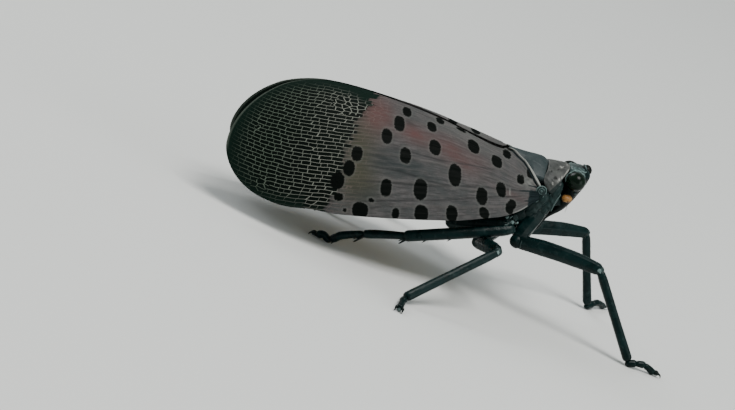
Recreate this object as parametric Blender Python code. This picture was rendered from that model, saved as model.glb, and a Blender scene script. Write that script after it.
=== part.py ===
"""A spotted lanternfly at life size: an adult at rest on its six feet, with its wings folded.

Sizes are in millimetres and become metres when a mesh is made. The body frame has x forward to the
head, y to the insect's left and z up, with its origin midway between the wing roots. It is pitched
head-up over the floor frame, in which the feet are placed and z is the height above the floor.
"""
from math import copysign, cos, pi, radians, sin, tan

import bmesh
import bpy
from mathutils import Matrix, Vector

MM = 0.001
BODY_PITCH = radians(10.0)
BODY_HEIGHT = 8.4
GAP = 0.3
RIGHT, LEFT = -1.0, 1.0
SIDES = {"right": RIGHT, "left": LEFT}

# Forewing, seen in its own plane: s runs rearward from the wing root and w outward from the crest
WING_THICKNESS = 0.5
CREST_HALF_GAP = 0.15
WING_ROOT_INNER = (0.5, 2.3)
SCUTELLUM_END = (2.7, 0.0)
WING_APEX_CENTRE = (15.8, 4.2)
WING_APEX_REACH = {"right": 5.45, "left": 4.95}
CREST_HEIGHT = ((0.0, 1.75), (2.5, 1.93), (7.5, 3.21), (12.1, 3.9), (15.2, 4.08), (17.8, 3.75),
                (19.1, 3.45), (21.3, 2.9))
WING_WIDTH = ((0.45, 3.7), (1.3, 4.55), (2.5, 5.45), (3.5, 6.05), (6.1, 7.4), (9.5, 8.6),
              (13.4, 9.3), (15.7, 9.1))
WING_CREST_SLOPE = ((0.0, 16.0), (10.0, 17.0), (15.0, 26.0), (18.0, 40.0), (21.3, 54.0))
WING_MEAN_SLOPE = ((0.0, 43.0), (3.5, 43.0), (6.0, 47.5), (9.5, 50.0), (13.4, 54.0),
                   (16.0, 58.0), (21.3, 72.0))
WING_SLOPE_POWER = 0.7
VEINS = (0.11, 0.27, 0.43, 0.58, 0.73, 0.88)
VEIN_HALF_WIDTH = 0.02
VEIN_HEIGHT = 0.13
VEIN_FADE = (0.55, 0.75)
VEIN_START = 0.04
FOREWING_ROWS = 22
TIP_FULLNESS_INNER = 2.0
TIP_FULLNESS_OUTER = 1.7
ROOF_STEPS = 12
FOREWING_PIVOT = (0.0, 2.4, 0.0)

# Hindwing, folded under the forewing in the same plane
HINDWING_DEPTH = WING_THICKNESS + 0.35
HINDWING_INNER = ((3.3, 2.5), (4.8, 1.1), (12.0, 0.9))
HINDWING_OUTER = ((3.2, 3.4), (4.8, 4.9), (8.0, 6.4), (12.0, 7.3))
HINDWING_APEX_CENTRE = (12.0, 4.1)
HINDWING_APEX_REACH = 3.9
HINDWING_ROWS = 12
HINDWING_COLUMNS = 9
HINDWING_PIVOT = (-3.0, 2.2, 0.0)

# Trunk stations, the thorax by x and the abdomen by the distance to the rear: half width, top, bottom
TRUNK_SIDES = 16
THORAX_STATIONS = ((1.38, 1.0, 0.5, -1.0), (1.2, 1.25, 0.72, -1.4), (0.8, 1.4, 0.82, -1.95),
                   (0.4, 1.5, 0.80, -2.4), (-0.3, 1.65, 0.85, -2.75), (-1.1, 1.6, 0.9, -2.95),
                   (-1.9, 1.7, 0.7, -3.0), (-2.7, 1.8, 0.20, -3.0), (-3.5, 1.75, -0.10, -2.9),
                   (-4.2, 1.5, -0.30, -2.65), (-4.6, 0.9, -0.70, -2.15))
THORAX_WAIST = -1.1
ABDOMEN_STATIONS = ((4.9, 1.3, -0.35, -1.9), (5.5, 1.9, 0.05, -2.3), (7.0, 2.25, 0.35, -2.5),
                    (9.0, 2.3, 0.60, -2.45), (11.0, 2.0, 0.75, -2.15), (13.0, 1.35, 0.50, -1.6),
                    (14.4, 0.45, 0.0, -0.8))
ABDOMEN_SEGMENTS = 8
SEGMENT_STEP = 0.12
SEGMENT_PARTS = ((0.04, -SEGMENT_STEP), (0.9, 0.0))

# Pronotum, a saddle from side to side: its edges by the angle down from the middle line
PRONOTUM_HALF_WIDTH = 2.05
PRONOTUM_TOP = 1.62
PRONOTUM_THICKNESS = 0.5
PRONOTUM_FRONT = ((0, 1.95), (26, 1.8), (45, 1.42), (60, 1.32), (75, 1.15), (92, 0.88))
PRONOTUM_REAR = ((0, 0.48), (30, 0.32), (60, 0.05), (75, 0.15), (92, 0.56))
PRONOTUM_REACH = 92.0
PRONOTUM_CROWN = 0.06
PRONOTUM_ROWS = 5
PRONOTUM_COLUMNS = 18

# Mesonotum with the scutellum, a triangle that points rearward
MESONOTUM_FRONT = 0.12
MESONOTUM_TIP = -2.3
MESONOTUM_HALF_WIDTH = 1.65
MESONOTUM_TOP = ((-2.4, 1.98), (-1.6, 1.93), (-0.8, 1.93), (-0.2, 1.84), (0.15, 1.64))
MESONOTUM_THICKNESS = 0.5
MESONOTUM_FALL = 0.4
MESONOTUM_KEELS = (0.0, 0.62)
MESONOTUM_COLUMNS = (0.2, 0.4, 0.56, 0.62, 0.68, 0.9, 1.15, 1.4, MESONOTUM_HALF_WIDTH)
MESONOTUM_ROWS = 6
KEEL_HEIGHT = 0.06

# Head, as level slices: height, back x, front x, half width
HEAD_SLICES = ((-2.6, 0.85, 1.1, 0.2), (-2.2, 0.98, 1.35, 0.4), (-1.5, 1.45, 2.1, 0.72),
               (-0.7, 1.82, 2.66, 1.05), (-0.1, 1.9, 2.98, 1.2), (0.4, 1.95, 3.28, 1.22),
               (0.9, 2.0, 3.42, 1.15), (1.2, 2.35, 3.44, 1.0), (1.45, 2.4, 3.3, 0.85),
               (1.6, 2.5, 3.1, 0.6))
HEAD_SIDES = 16
HEAD_SQUARENESS = 0.8
SNOUT_CENTRE = (3.17, 0.0, 1.42)
SNOUT_RADII = (0.36, 0.36, 0.38)
EYE_CENTRE = (2.35, 1.35, 0.89)
EYE_RADIUS = 0.65
EYE_CLEARANCE = 0.28
ANTENNA_ROOT = (1.95, 1.45, -0.2)
ANTENNA_BULB = (1.95, 1.6, -0.36)
BULB_RADII = (0.36, 0.3, 0.28)
ROSTRUM_PATH = ((0.8, 0.0, -3.05), (0.2, 0.0, -3.35), (-1.5, 0.0, -3.55), (-4.1, 0.0, -3.6))
ROSTRUM_RADIUS = 0.25
ROSTRUM_TAPER = (0.7, 1.0, 1.0, 0.5)
TEGULA_CENTRE = (0.08, 2.4, 0.05)
TEGULA_RADII = (0.3, 0.22, 0.3)

# Legs: hip, trochanter and knee in the body frame, heel and toe in the floor frame, y outward
COXA_RADIUS = {"front": 0.56, "middle": 0.52, "hind": 0.5}
FEMUR_RADIUS = {"front": 0.48, "middle": 0.46, "hind": 0.48}
TIBIA_RADIUS = {"front": 0.31, "middle": 0.31, "hind": 0.36}
TARSUS_RADIUS = 0.26
LIMB_SIDES = 8
FEMUR_OVERRUN = 0.2
FEMUR_FLATNESS = 0.85
FEMUR_TAPER = 0.82
TIBIA_STATIONS = (0.04, 0.3, 0.65, 0.95, 1.0)
TIBIA_SIZES = (0.7, 1.05, 0.95, 0.95, 1.05, 0.75)
HIND_KNEE_SIZE = 0.6
TARSUS_SIZES = (0.7, 1.0, 0.95, 0.85)
HIND_TARSUS_SIZES = (0.8, 0.95, 0.85, 0.95, 1.0, 0.85)
KNEE_CLEARANCE = 0.68
HIND_HEEL_CLEARANCE = 0.42
HIPS = {
    "front": (-0.04, 1.2, -2.74),
    "middle": (-2.3, 1.2, -3.05),
    "hind": (-4.2, 0.9, -2.9),
}
TROCHANTERS = {
    "front_right": (-0.8, 2.2, -3.75),
    "front_left": (-0.72, 2.2, -4.15),
    "middle_right": (-3.45, 2.6, -4.2),
    "middle_left": (-3.45, 2.6, -4.2),
    "hind_right": (-5.4, 2.1, -3.3),
    "hind_left": (-5.4, 2.1, -3.3),
}
KNEES = {
    "front_right": (4.72, 4.3, -4.05),
    "front_left": (5.35, 4.3, -4.1),
    "middle_right": (-2.84, 6.4, -3.49),
    "middle_left": (-2.84, 6.4, -3.49),
    "hind_right": (-2.0, 3.3, -2.5),
    "hind_left": (-2.0, 3.3, -2.5),
}
FEET = {
    "front_right": ((9.4, 5.6), (11.45, 5.5)),
    "front_left": ((8.4, 4.85), (10.15, 6.7)),
    "middle_right": ((-7.6, 10.0), (-8.15, 12.15)),
    "middle_left": ((-7.6, 10.0), (-8.15, 12.15)),
}
HEEL_HEIGHT = 0.9
FOOT_HEIGHT = 0.2
TOE_HEIGHT = 0.17
HEEL_OVERHANG = 0.18
HIND_HEEL = {"right": (-7.9, 4.0, 2.6), "left": (-7.6, 4.8, 2.6)}
HIND_TARSUS = {
    "right": ((-9.8, 3.5, 1.75), (-11.4, 2.95, 0.8), (-12.05, 2.65, 0.2), (-12.95, 2.3, 0.17)),
    "left": ((-9.5, 5.1, 1.75), (-11.2, 5.35, 0.8), (-11.9, 5.5, 0.2), (-12.75, 5.7, 0.17)),
}
HIND_KNEE_TURN = (0.25, 0.95, -0.1)
CLAW_LENGTH = 0.55
CLAW_RADIUS = 0.13
CLAW_SINK = 0.3
CLAW_SPREAD = radians(28.0)
CLAW_ROOT_SPACING = 0.15
CLAW_TIP_HEIGHT = 0.05
CLAW_ARCH = 0.1
SPINE_LENGTH = 0.75
SPINE_RADIUS = 0.14
SPINE_TILT = (0.7, 0.7)
HIND_SPINES = (0.55, 0.42, 0.84, 0.67)
CROWN_TURNS = (-1.0, 0.0, 1.0)
CROWN_SETBACK = 0.35
CROWN_TILT = (0.7, 0.45)

DARK_CUTICLE = ("dark_cuticle", (0.012, 0.022, 0.026), 0.32)
WING_SKIN = ("wing_skin", (0.30, 0.25, 0.24), 0.5)
HINDWING_SKIN = ("hindwing_skin", (0.45, 0.04, 0.03), 0.5)
GREY_PLATE = ("grey_plate", (0.19, 0.17, 0.15), 0.5)
BLUE_PLATE = ("blue_plate", (0.05, 0.065, 0.08), 0.45)
EYE_GLOSS = ("eye_gloss", (0.006, 0.008, 0.008), 0.12)
ORANGE_BULB = ("orange_bulb", (0.85, 0.17, 0.02), 0.35)
YELLOW_BELLY = ("yellow_belly", (0.55, 0.42, 0.08), 0.45)


def remove_scene_objects():
    for item in list(bpy.data.objects):
        bpy.data.objects.remove(item, do_unlink=True)


def finish_material(name, finish):
    """A Principled material of one node, from a finish's colour and roughness."""
    slot, colour, roughness = finish
    material = bpy.data.materials.new(f"{slot}_{name}")
    material.use_nodes = True
    shader = material.node_tree.nodes["Principled BSDF"]
    shader.inputs["Base Color"].default_value = (*colour, 1.0)
    shader.inputs["Roughness"].default_value = roughness
    shader.inputs["Metallic"].default_value = 0.0
    return material


def make_mesh(name, shape, pivot=(0.0, 0.0, 0.0)):
    """A mesh in metres from a shape's points and faces, with every face turned outward."""
    points, faces = shape
    mesh = bpy.data.meshes.new(name)
    mesh.from_pydata([Vector(p) - Vector(pivot) for p in points], [], faces)
    work = bmesh.new()
    work.from_mesh(mesh)
    bmesh.ops.recalc_face_normals(work, faces=work.faces)
    for vertex in work.verts:
        vertex.co *= MM
    work.to_mesh(mesh)
    work.free()
    return mesh


def add_node(name, shape, finish, parent, pivot):
    """One named object from a shape's points and faces, with its origin on its pivot."""
    mesh = make_mesh(name, shape, pivot)
    mesh.shade_smooth()
    mesh.set_sharp_from_angle(angle=radians(45.0))
    mesh.materials.append(finish_material(name, finish))
    node = bpy.data.objects.new(name, mesh)
    node.location = Vector(pivot) * MM
    node.parent = parent
    bpy.context.scene.collection.objects.link(node)
    return node


def keep_largest_surface(mesh):
    """Drop every closed surface of a mesh but the one with the largest area."""
    work = bmesh.new()
    work.from_mesh(mesh)
    unseen = set(work.faces)
    surfaces = []
    while unseen:
        stack = [unseen.pop()]
        surface = []
        while stack:
            face = stack.pop()
            surface.append(face)
            near = {other for edge in face.edges for other in edge.link_faces if other in unseen}
            unseen -= near
            stack.extend(near)
        surfaces.append(surface)
    surfaces.sort(key=lambda faces: sum(face.calc_area() for face in faces))
    loose = [face for surface in surfaces[:-1] for face in surface]
    bmesh.ops.delete(work, geom=loose, context="FACES")
    work.to_mesh(mesh)
    work.free()


def combine(node, shapes, operation):
    """Join closed shapes to a node, or cut them out of it, by one Boolean on a collection."""
    operands = bpy.data.collections.new(f"{node.name}_operands")
    bpy.context.scene.collection.children.link(operands)
    for number, shape in enumerate(shapes):
        mesh = make_mesh(f"{node.name}_operand_{number}", shape)
        operand = bpy.data.objects.new(mesh.name, mesh)
        operand.parent = node.parent
        operands.objects.link(operand)
    boolean = node.modifiers.new("combine", "BOOLEAN")
    boolean.operation = operation
    boolean.operand_type = "COLLECTION"
    boolean.collection = operands
    boolean.solver = "EXACT"
    evaluated = node.evaluated_get(bpy.context.evaluated_depsgraph_get())
    joined = bpy.data.meshes.new_from_object(evaluated)
    keep_largest_surface(joined)
    node.modifiers.remove(boolean)
    node.data = joined
    for operand in list(operands.objects):
        bpy.data.objects.remove(operand, do_unlink=True)
    bpy.data.collections.remove(operands)


def along(stations, x):
    """The smooth value at x through stations of (x, value), by Hermite pieces."""
    xs = [station[0] for station in stations]
    ys = [station[1] for station in stations]
    x = min(max(x, xs[0]), xs[-1])
    k = max(i for i in range(len(xs) - 1) if xs[i] <= x)

    def slope(i):
        low, high = max(i - 1, 0), min(i + 1, len(xs) - 1)
        return (ys[high] - ys[low]) / (xs[high] - xs[low])

    span = xs[k + 1] - xs[k]
    t = (x - xs[k]) / span
    start = (1 + 2 * t) * (1 - t) ** 2 * ys[k] + t * (1 - t) ** 2 * span * slope(k)
    return start + t * t * (3 - 2 * t) * ys[k + 1] + t * t * (t - 1) * span * slope(k + 1)


def mirror(point, side):
    """A point given with y outward, put on one side of the insect."""
    return Vector((point[0], point[1] * side, point[2]))


def skin_rings(rings):
    """Closed faces over a row of rings of equal count, with a fan to a point at each end."""
    count = len(rings[0])
    points = [point for ring in rings for point in ring]
    faces = []
    for r in range(len(rings) - 1):
        for k in range(count):
            n = (k + 1) % count
            faces.append((r * count + k, r * count + n, (r + 1) * count + n, (r + 1) * count + k))
    for first, ring in ((0, rings[0]), ((len(rings) - 1) * count, rings[-1])):
        centre = sum((Vector(p) for p in ring), Vector()) / count
        points.append(centre)
        hub = len(points) - 1
        faces.extend((first + k, first + (k + 1) % count, hub) for k in range(count))
    return points, faces


def tube(path, radii, sides, up=Vector((0.0, 0.0, 1.0))):
    """A closed tube along a path. Each radius is one number, or a pair across and along up."""
    path = [Vector(p) for p in path]
    rings = []
    for i, centre in enumerate(path):
        ahead = path[min(i + 1, len(path) - 1)] - path[max(i - 1, 0)]
        across = ahead.cross(up).normalized()
        over = across.cross(ahead).normalized()
        wide, tall = radii[i] if isinstance(radii[i], tuple) else (radii[i], radii[i])
        angles = [2 * pi * (k + 0.5) / sides for k in range(sides)]
        rings.append([centre + across * (wide * cos(a)) + over * (tall * sin(a)) for a in angles])
    return skin_rings(rings)


def ellipsoid(centre, radii, rings=6, sides=10):
    """A closed ball with three radii."""
    centre = Vector(centre)
    slices = []
    for r in range(1, rings):
        angle = pi * r / rings
        slices.append([centre + Vector((radii[0] * sin(angle) * cos(2 * pi * k / sides),
                                        radii[1] * sin(angle) * sin(2 * pi * k / sides),
                                        radii[2] * cos(angle))) for k in range(sides)])
    points, faces = skin_rings(slices)
    points[-2] = centre + Vector((0.0, 0.0, radii[2]))
    points[-1] = centre - Vector((0.0, 0.0, radii[2]))
    return points, faces


def rounded_bar(start, end, radius, flatness=1.0, taper=1.0):
    """A limb from start to end with domed ends and a taper to its far end."""
    start, end = Vector(start), Vector(end)
    length = (end - start).length
    dome = min(0.35 * radius / length, 0.2)
    stations = ((0.0, 0.45), (dome, 0.85), (2.5 * dome, 1.0), (1.0 - 2.5 * dome, 1.0),
                (1.0 - dome, 0.85), (1.0, 0.45))
    path = [start.lerp(end, t) for t, _ in stations]
    sizes = [radius * size * (1 + (taper - 1) * t) for t, size in stations]
    return tube(path, [(size * flatness, size) for size in sizes], LIMB_SIDES)


def spike(root, tip, radius, arch=0.0):
    """A cone from a sunk root to a fine tip, its middle raised by arch."""
    root, tip = Vector(root), Vector(tip)
    middle = root.lerp(tip, 0.55) + Vector((0.0, 0.0, arch))
    return tube((root, middle, tip), (radius, radius * 0.7, radius * 0.15), 5,
                up=Vector((0.3, 0.9, 0.2)))


def roof_point(s, w, side, depth=0.0):
    """A point of the folded wing, s rearward and w outward from the crest, sunk by depth."""
    def place(s, w):
        width = along(WING_WIDTH, s)
        crest_slope = along(WING_CREST_SLOPE, s)
        spread = (along(WING_MEAN_SLOPE, s) - crest_slope) * (1 + WING_SLOPE_POWER)
        y, z = CREST_HALF_GAP, along(CREST_HEIGHT, s)
        for step in range(ROOF_STEPS):
            part = max((step + 0.5) / ROOF_STEPS * w / width, 0.0)
            slope = radians(crest_slope + spread * part ** WING_SLOPE_POWER)
            y += cos(slope) * w / ROOF_STEPS
            z -= sin(slope) * w / ROOF_STEPS
        return Vector((-s, y, z))

    point = place(s, w)
    if depth:
        nudge = 0.05
        down_wing = place(s + nudge, w) - place(s - nudge, w)
        across = place(s, w + nudge) - place(s, max(w - nudge, 0.0))
        normal = across.cross(down_wing).normalized()
        if normal.z < 0:
            normal = -normal
        normal.y *= min(w, 1.0)
        point -= normal.normalized() * depth
    return mirror(point, side)


def path_point(corners, fraction):
    """The point at a fraction of the length of an open path of plane points."""
    lengths = [(Vector(b) - Vector(a)).length for a, b in zip(corners, corners[1:])]
    left = fraction * sum(lengths)
    for (a, b), length in zip(zip(corners, corners[1:]), lengths):
        if left <= length:
            return Vector(a).lerp(Vector(b), left / length)
        left -= length
    return Vector(corners[-1])


def rounded_end(start, end, middle, reach, j):
    """A point of a wing's rounded tip, fuller on its inner half than on its outer half."""
    inner_half = j < 0.5
    fullness = TIP_FULLNESS_INNER if inner_half else TIP_FULLNESS_OUTER
    angle = pi * (0.5 - j)
    s = middle[0] + reach * max(cos(angle), 0.0) ** (2 / fullness)
    height = (middle[1] - start) if inner_half else (end - middle[1])
    away = height * abs(sin(angle)) ** (2 / fullness)
    return Vector((s, middle[1] - away if inner_half else middle[1] + away))


def wing_patch(inner, outer, middle, reach):
    """A plane patch that fills a wing's outline: i runs from root to tip, j from inner to outer."""
    def patch(i, j):
        tip = rounded_end(inner[-1][1], outer[-1][1], middle, reach, j)
        root_edge = Vector(inner[0]).lerp(Vector(outer[0]), j)
        sides = path_point(inner, i).lerp(path_point(outer, i), j)
        far = Vector(inner[-1]).lerp(Vector(outer[-1]), j)
        return sides + root_edge.lerp(tip, i) - root_edge.lerp(far, i)

    return patch


def sheet(rows, columns, surface):
    """A closed thin sheet whose two faces are split into triangles alike."""
    width = len(columns)
    points = [surface(i, j, face) for face in (0, 1) for i in rows for j in columns]
    half = len(rows) * width
    faces = []
    for r in range(len(rows) - 1):
        for c in range(width - 1):
            a = r * width + c
            b, d, e = a + 1, a + width, a + width + 1
            split = ((a, b, e), (a, e, d)) if (r + c) % 2 else ((a, b, d), (b, e, d))
            for corner in split:
                faces.append(corner)
                faces.append(tuple(half + k for k in reversed(corner)))
    rim = [c for c in range(width)]
    rim += [r * width + width - 1 for r in range(1, len(rows))]
    rim += [(len(rows) - 1) * width + c for c in range(width - 2, -1, -1)]
    rim += [r * width for r in range(len(rows) - 2, 0, -1)]
    for k, a in enumerate(rim):
        b = rim[(k + 1) % len(rim)]
        faces.append((a, b, half + b))
        faces.append((a, half + b, half + a))
    return points, faces


def make_forewing(name, side, parent):
    inner = (WING_ROOT_INNER, SCUTELLUM_END, (WING_APEX_CENTRE[0], 0.0))
    reach = WING_APEX_REACH[name.split("_")[1]]
    patch = wing_patch(inner, WING_WIDTH, WING_APEX_CENTRE, reach)
    rows = [i / FOREWING_ROWS for i in range(FOREWING_ROWS + 1)]
    columns = [0.0, 1.0]
    for number, vein in enumerate(VEINS):
        columns += [vein - VEIN_HALF_WIDTH, vein, vein + VEIN_HALF_WIDTH]
        last = VEINS[number - 1] if number else 0.0
        columns.append((last + vein) / 2)
    columns = sorted(columns)

    def surface(i, j, face):
        s, w = patch(i, j)
        rise = VEIN_HEIGHT if j in VEINS else 0.0
        start, stop = VEIN_FADE
        rise *= min(max((stop - i) / (stop - start), 0.0), 1.0) * min(i / VEIN_START, 1.0)
        return roof_point(s, w, side, WING_THICKNESS if face else -rise)

    add_node(name, sheet(rows, columns, surface), WING_SKIN, parent, mirror(FOREWING_PIVOT, side))


def make_hindwing(name, side, parent):
    patch = wing_patch(HINDWING_INNER, HINDWING_OUTER, HINDWING_APEX_CENTRE, HINDWING_APEX_REACH)
    rows = [i / HINDWING_ROWS for i in range(HINDWING_ROWS + 1)]
    columns = [j / HINDWING_COLUMNS for j in range(HINDWING_COLUMNS + 1)]

    def surface(i, j, face):
        s, w = patch(i, j)
        return roof_point(s, w, side, HINDWING_DEPTH + WING_THICKNESS * face)

    add_node(name, sheet(rows, columns, surface), HINDWING_SKIN, parent,
             mirror(HINDWING_PIVOT, side))


def trunk_ring(x, half_width, top, bottom, waist):
    """An oval ring across the trunk at x, widest at the waist's height."""
    ring = []
    for k in range(TRUNK_SIDES):
        angle = 2 * pi * k / TRUNK_SIDES
        height = top - waist if cos(angle) > 0 else waist - bottom
        ring.append(Vector((x, half_width * sin(angle), waist + height * cos(angle))))
    return ring


def make_thorax(parent):
    rings = [trunk_ring(x, half, top, bottom, min(THORAX_WAIST, top - GAP))
             for x, half, top, bottom in THORAX_STATIONS]
    add_node("thorax", skin_rings(rings), DARK_CUTICLE, parent, (-1.0, 0.0, -1.0))


def make_abdomen(parent):
    """The abdomen as overlapping segments, each a little wider at its rear edge."""
    start, end = ABDOMEN_STATIONS[0][0], ABDOMEN_STATIONS[-1][0]
    rings = []
    for segment in range(ABDOMEN_SEGMENTS):
        for part, grow in SEGMENT_PARTS:
            s = start + (end - start) * (segment + part) / ABDOMEN_SEGMENTS
            half, top, bottom = (along([(row[0], row[k]) for row in ABDOMEN_STATIONS], s)
                                 for k in (1, 2, 3))
            middle = (top + bottom) / 2
            rings.append(trunk_ring(-s, half + grow, top + grow, bottom - grow, middle))
    add_node("abdomen", skin_rings(rings), YELLOW_BELLY, parent, (-4.9, 0.0, -1.1))


def make_pronotum(parent):
    """The saddle over the front of the thorax."""
    rows = [k / PRONOTUM_ROWS for k in range(PRONOTUM_ROWS + 1)]
    columns = [2 * k / PRONOTUM_COLUMNS - 1 for k in range(PRONOTUM_COLUMNS + 1)]

    def surface(i, j, face):
        angle = abs(j) * PRONOTUM_REACH
        rear, front = along(PRONOTUM_REAR, angle), along(PRONOTUM_FRONT, angle)
        x = rear + (front - rear) * i
        depth = PRONOTUM_THICKNESS * face
        crown = PRONOTUM_CROWN * (1 - (2 * i - 1) ** 2)
        half = PRONOTUM_HALF_WIDTH - depth + crown
        top = PRONOTUM_TOP - depth + crown + (KEEL_HEIGHT if j == 0 and not face else 0.0)
        turn = radians(j * PRONOTUM_REACH)
        return Vector((x, half * sin(turn), top * cos(turn)))

    add_node("pronotum", sheet(rows, columns, surface), GREY_PLATE, parent, (1.0, 0.0, 1.2))


def make_mesonotum(parent):
    """The triangular plate between the wing roots, with its keels, down to the scutellum's tip."""
    rows = [k / MESONOTUM_ROWS for k in range(MESONOTUM_ROWS + 1)]
    columns = [-y for y in reversed(MESONOTUM_COLUMNS)] + [0.0, *MESONOTUM_COLUMNS]

    def surface(i, y, face):
        share = abs(y) / MESONOTUM_HALF_WIDTH
        front = MESONOTUM_FRONT - 0.35 * share
        rear = MESONOTUM_TIP + (front - GAP - MESONOTUM_TIP) * share
        x = front + (rear - front) * i
        z = along(MESONOTUM_TOP, x) - MESONOTUM_FALL * abs(y) ** 1.5
        if abs(y) in MESONOTUM_KEELS and not face:
            z += KEEL_HEIGHT
        return Vector((x, y, z - MESONOTUM_THICKNESS * face))

    add_node("mesonotum", sheet(rows, columns, surface), BLUE_PLATE, parent, (-1.0, 0.0, 1.5))


def make_head(parent):
    """The head with its upturned snout and a socket for each eye."""
    rings = []
    for z, back, front, half in HEAD_SLICES:
        ring = []
        for k in range(HEAD_SIDES):
            angle = 2 * pi * k / HEAD_SIDES
            along_x = copysign(abs(cos(angle)) ** HEAD_SQUARENESS, cos(angle))
            across = copysign(abs(sin(angle)) ** HEAD_SQUARENESS, sin(angle))
            ring.append(Vector(((back + front) / 2 + (front - back) / 2 * along_x, half * across, z)))
        rings.append(ring)
    head = add_node("head", skin_rings(rings), DARK_CUTICLE, parent, (0.0, 0.0, 0.0))
    combine(head, [ellipsoid(SNOUT_CENTRE, SNOUT_RADII)], "UNION")
    clear = EYE_RADIUS + EYE_CLEARANCE
    sockets = [ellipsoid(mirror(EYE_CENTRE, side), (clear, clear, clear), 8, 14)
               for side in SIDES.values()]
    combine(head, sockets, "DIFFERENCE")


def make_face_parts(parent):
    """The eyes, the antennae below them and the tegulae over the wing roots."""
    for word, side in SIDES.items():
        eye = ellipsoid(mirror(EYE_CENTRE, side), (EYE_RADIUS,) * 3, 10, 16)
        add_node(f"eye_{word}", eye, EYE_GLOSS, parent, mirror(EYE_CENTRE, side))
        bulb = ellipsoid(mirror(ANTENNA_BULB, side), BULB_RADII, 7, 12)
        add_node(f"antenna_{word}", bulb, ORANGE_BULB, parent, mirror(ANTENNA_ROOT, side))
        tegula = ellipsoid(mirror(TEGULA_CENTRE, side), TEGULA_RADII, 6, 10)
        add_node(f"tegula_{word}", tegula, DARK_CUTICLE, parent, mirror(TEGULA_CENTRE, side))


def make_rostrum(parent):
    radii = [ROSTRUM_RADIUS * size for size in ROSTRUM_TAPER]
    rostrum = tube(ROSTRUM_PATH, radii, LIMB_SIDES)
    add_node("rostrum", rostrum, DARK_CUTICLE, parent, ROSTRUM_PATH[0])


def claws(toe, ahead):
    """The two claws at the end of a foot, spread to its sides and hooked down to the floor."""
    shapes = []
    outward = Vector((0.0, 0.0, 1.0)).cross(ahead)
    for side in SIDES.values():
        root = toe - ahead * CLAW_SINK + outward * (CLAW_ROOT_SPACING / 2 * side)
        way = Matrix.Rotation(CLAW_SPREAD * side, 3, "Z") @ ahead
        tip = toe + way * CLAW_LENGTH
        tip.z = CLAW_TIP_HEIGHT
        shapes.append(spike(root, tip, CLAW_RADIUS, CLAW_ARCH))
    return shapes


def on_floor(shape):
    """A shape with every point that would sink into the floor raised to it."""
    points, faces = shape
    return [Vector((p.x, p.y, max(p.z, 0.0))) for p in points], faces


def make_front_or_middle_shank(name, side, knee):
    """The tibia's and the tarsus's paths of a leg whose whole foot lies on the floor."""
    heel_spot, toe_spot = FEET[name]
    heel = mirror((*heel_spot, HEEL_HEIGHT), side)
    foot = mirror((*heel_spot, FOOT_HEIGHT), side)
    toe = mirror((*toe_spot, TOE_HEIGHT), side)
    start = knee + (heel - knee).normalized() * KNEE_CLEARANCE
    back = foot - (toe - foot).normalized() * HEEL_OVERHANG
    return [start], heel, [back, foot, foot.lerp(toe, 0.5), toe]


def make_hind_shank(word, knee, femur_way):
    """The same paths for a hind leg, whose tibia turns back outside the femur to a raised heel."""
    side = SIDES[word]
    turn = mirror(HIND_KNEE_TURN, side).normalized()
    knee_end = knee + femur_way * 0.1 + turn * (KNEE_CLEARANCE + 0.15)
    bend = knee - femur_way * 0.5 + turn * (KNEE_CLEARANCE + 0.3)
    heel = mirror(HIND_HEEL[word], side)
    tread = [mirror(p, side) for p in HIND_TARSUS[word]]
    back = heel + (heel - bend).normalized() * HIND_HEEL_CLEARANCE
    return [knee_end, bend], heel, [back, back.lerp(tread[0], 0.4), *tread]


def make_leg(pair, word, parent, to_floor):
    """One leg as four nodes: coxa, femur, tibia and tarsus with its claws."""
    side = SIDES[word]
    name = f"{pair}_{word}"
    hip = to_floor @ mirror(HIPS[pair], side)
    trochanter = to_floor @ mirror(TROCHANTERS[name], side)
    knee = to_floor @ mirror(KNEES[name], side)
    femur_way = (knee - trochanter).normalized()
    coxa_way = (trochanter - hip).normalized()
    fold = pi - coxa_way.angle(femur_way)
    thick, wide = FEMUR_RADIUS[pair], COXA_RADIUS[pair]
    coxa_end = (thick + GAP) / sin(fold) + 0.75 * wide / tan(fold)
    coxa = rounded_bar(hip, trochanter - coxa_way * coxa_end, wide)
    add_node(f"leg_{name}_coxa", coxa, DARK_CUTICLE, parent, hip)
    overrun = femur_way * FEMUR_OVERRUN
    femur = rounded_bar(trochanter - overrun, knee + overrun, thick, FEMUR_FLATNESS, FEMUR_TAPER)
    add_node(f"leg_{name}_femur", femur, DARK_CUTICLE, parent, trochanter)

    if pair == "hind":
        path, heel, tread = make_hind_shank(word, knee, femur_way)
        tibia_sizes = (HIND_KNEE_SIZE, *TIBIA_SIZES)
        tarsus_sizes = HIND_TARSUS_SIZES
    else:
        path, heel, tread = make_front_or_middle_shank(name, side, knee)
        tibia_sizes = TIBIA_SIZES
        tarsus_sizes = TARSUS_SIZES
    start = path[-1]
    path += [start.lerp(heel, t) for t in TIBIA_STATIONS]
    tibia = tube(path, [TIBIA_RADIUS[pair] * size for size in tibia_sizes], LIMB_SIDES)
    tibia = add_node(f"leg_{name}_tibia", tibia, DARK_CUTICLE, parent, knee)
    if pair == "hind":
        arm_hind_tibia(tibia, start, heel, side)

    foot = on_floor(tube(tread, [TARSUS_RADIUS * size for size in tarsus_sizes], LIMB_SIDES))
    tarsus = add_node(f"leg_{name}_tarsus", foot, DARK_CUTICLE, parent, heel)
    ahead = tread[-1] - tread[-2]
    ahead.z = 0.0
    combine(tarsus, claws(tread[-1], ahead.normalized()), "UNION")


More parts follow.
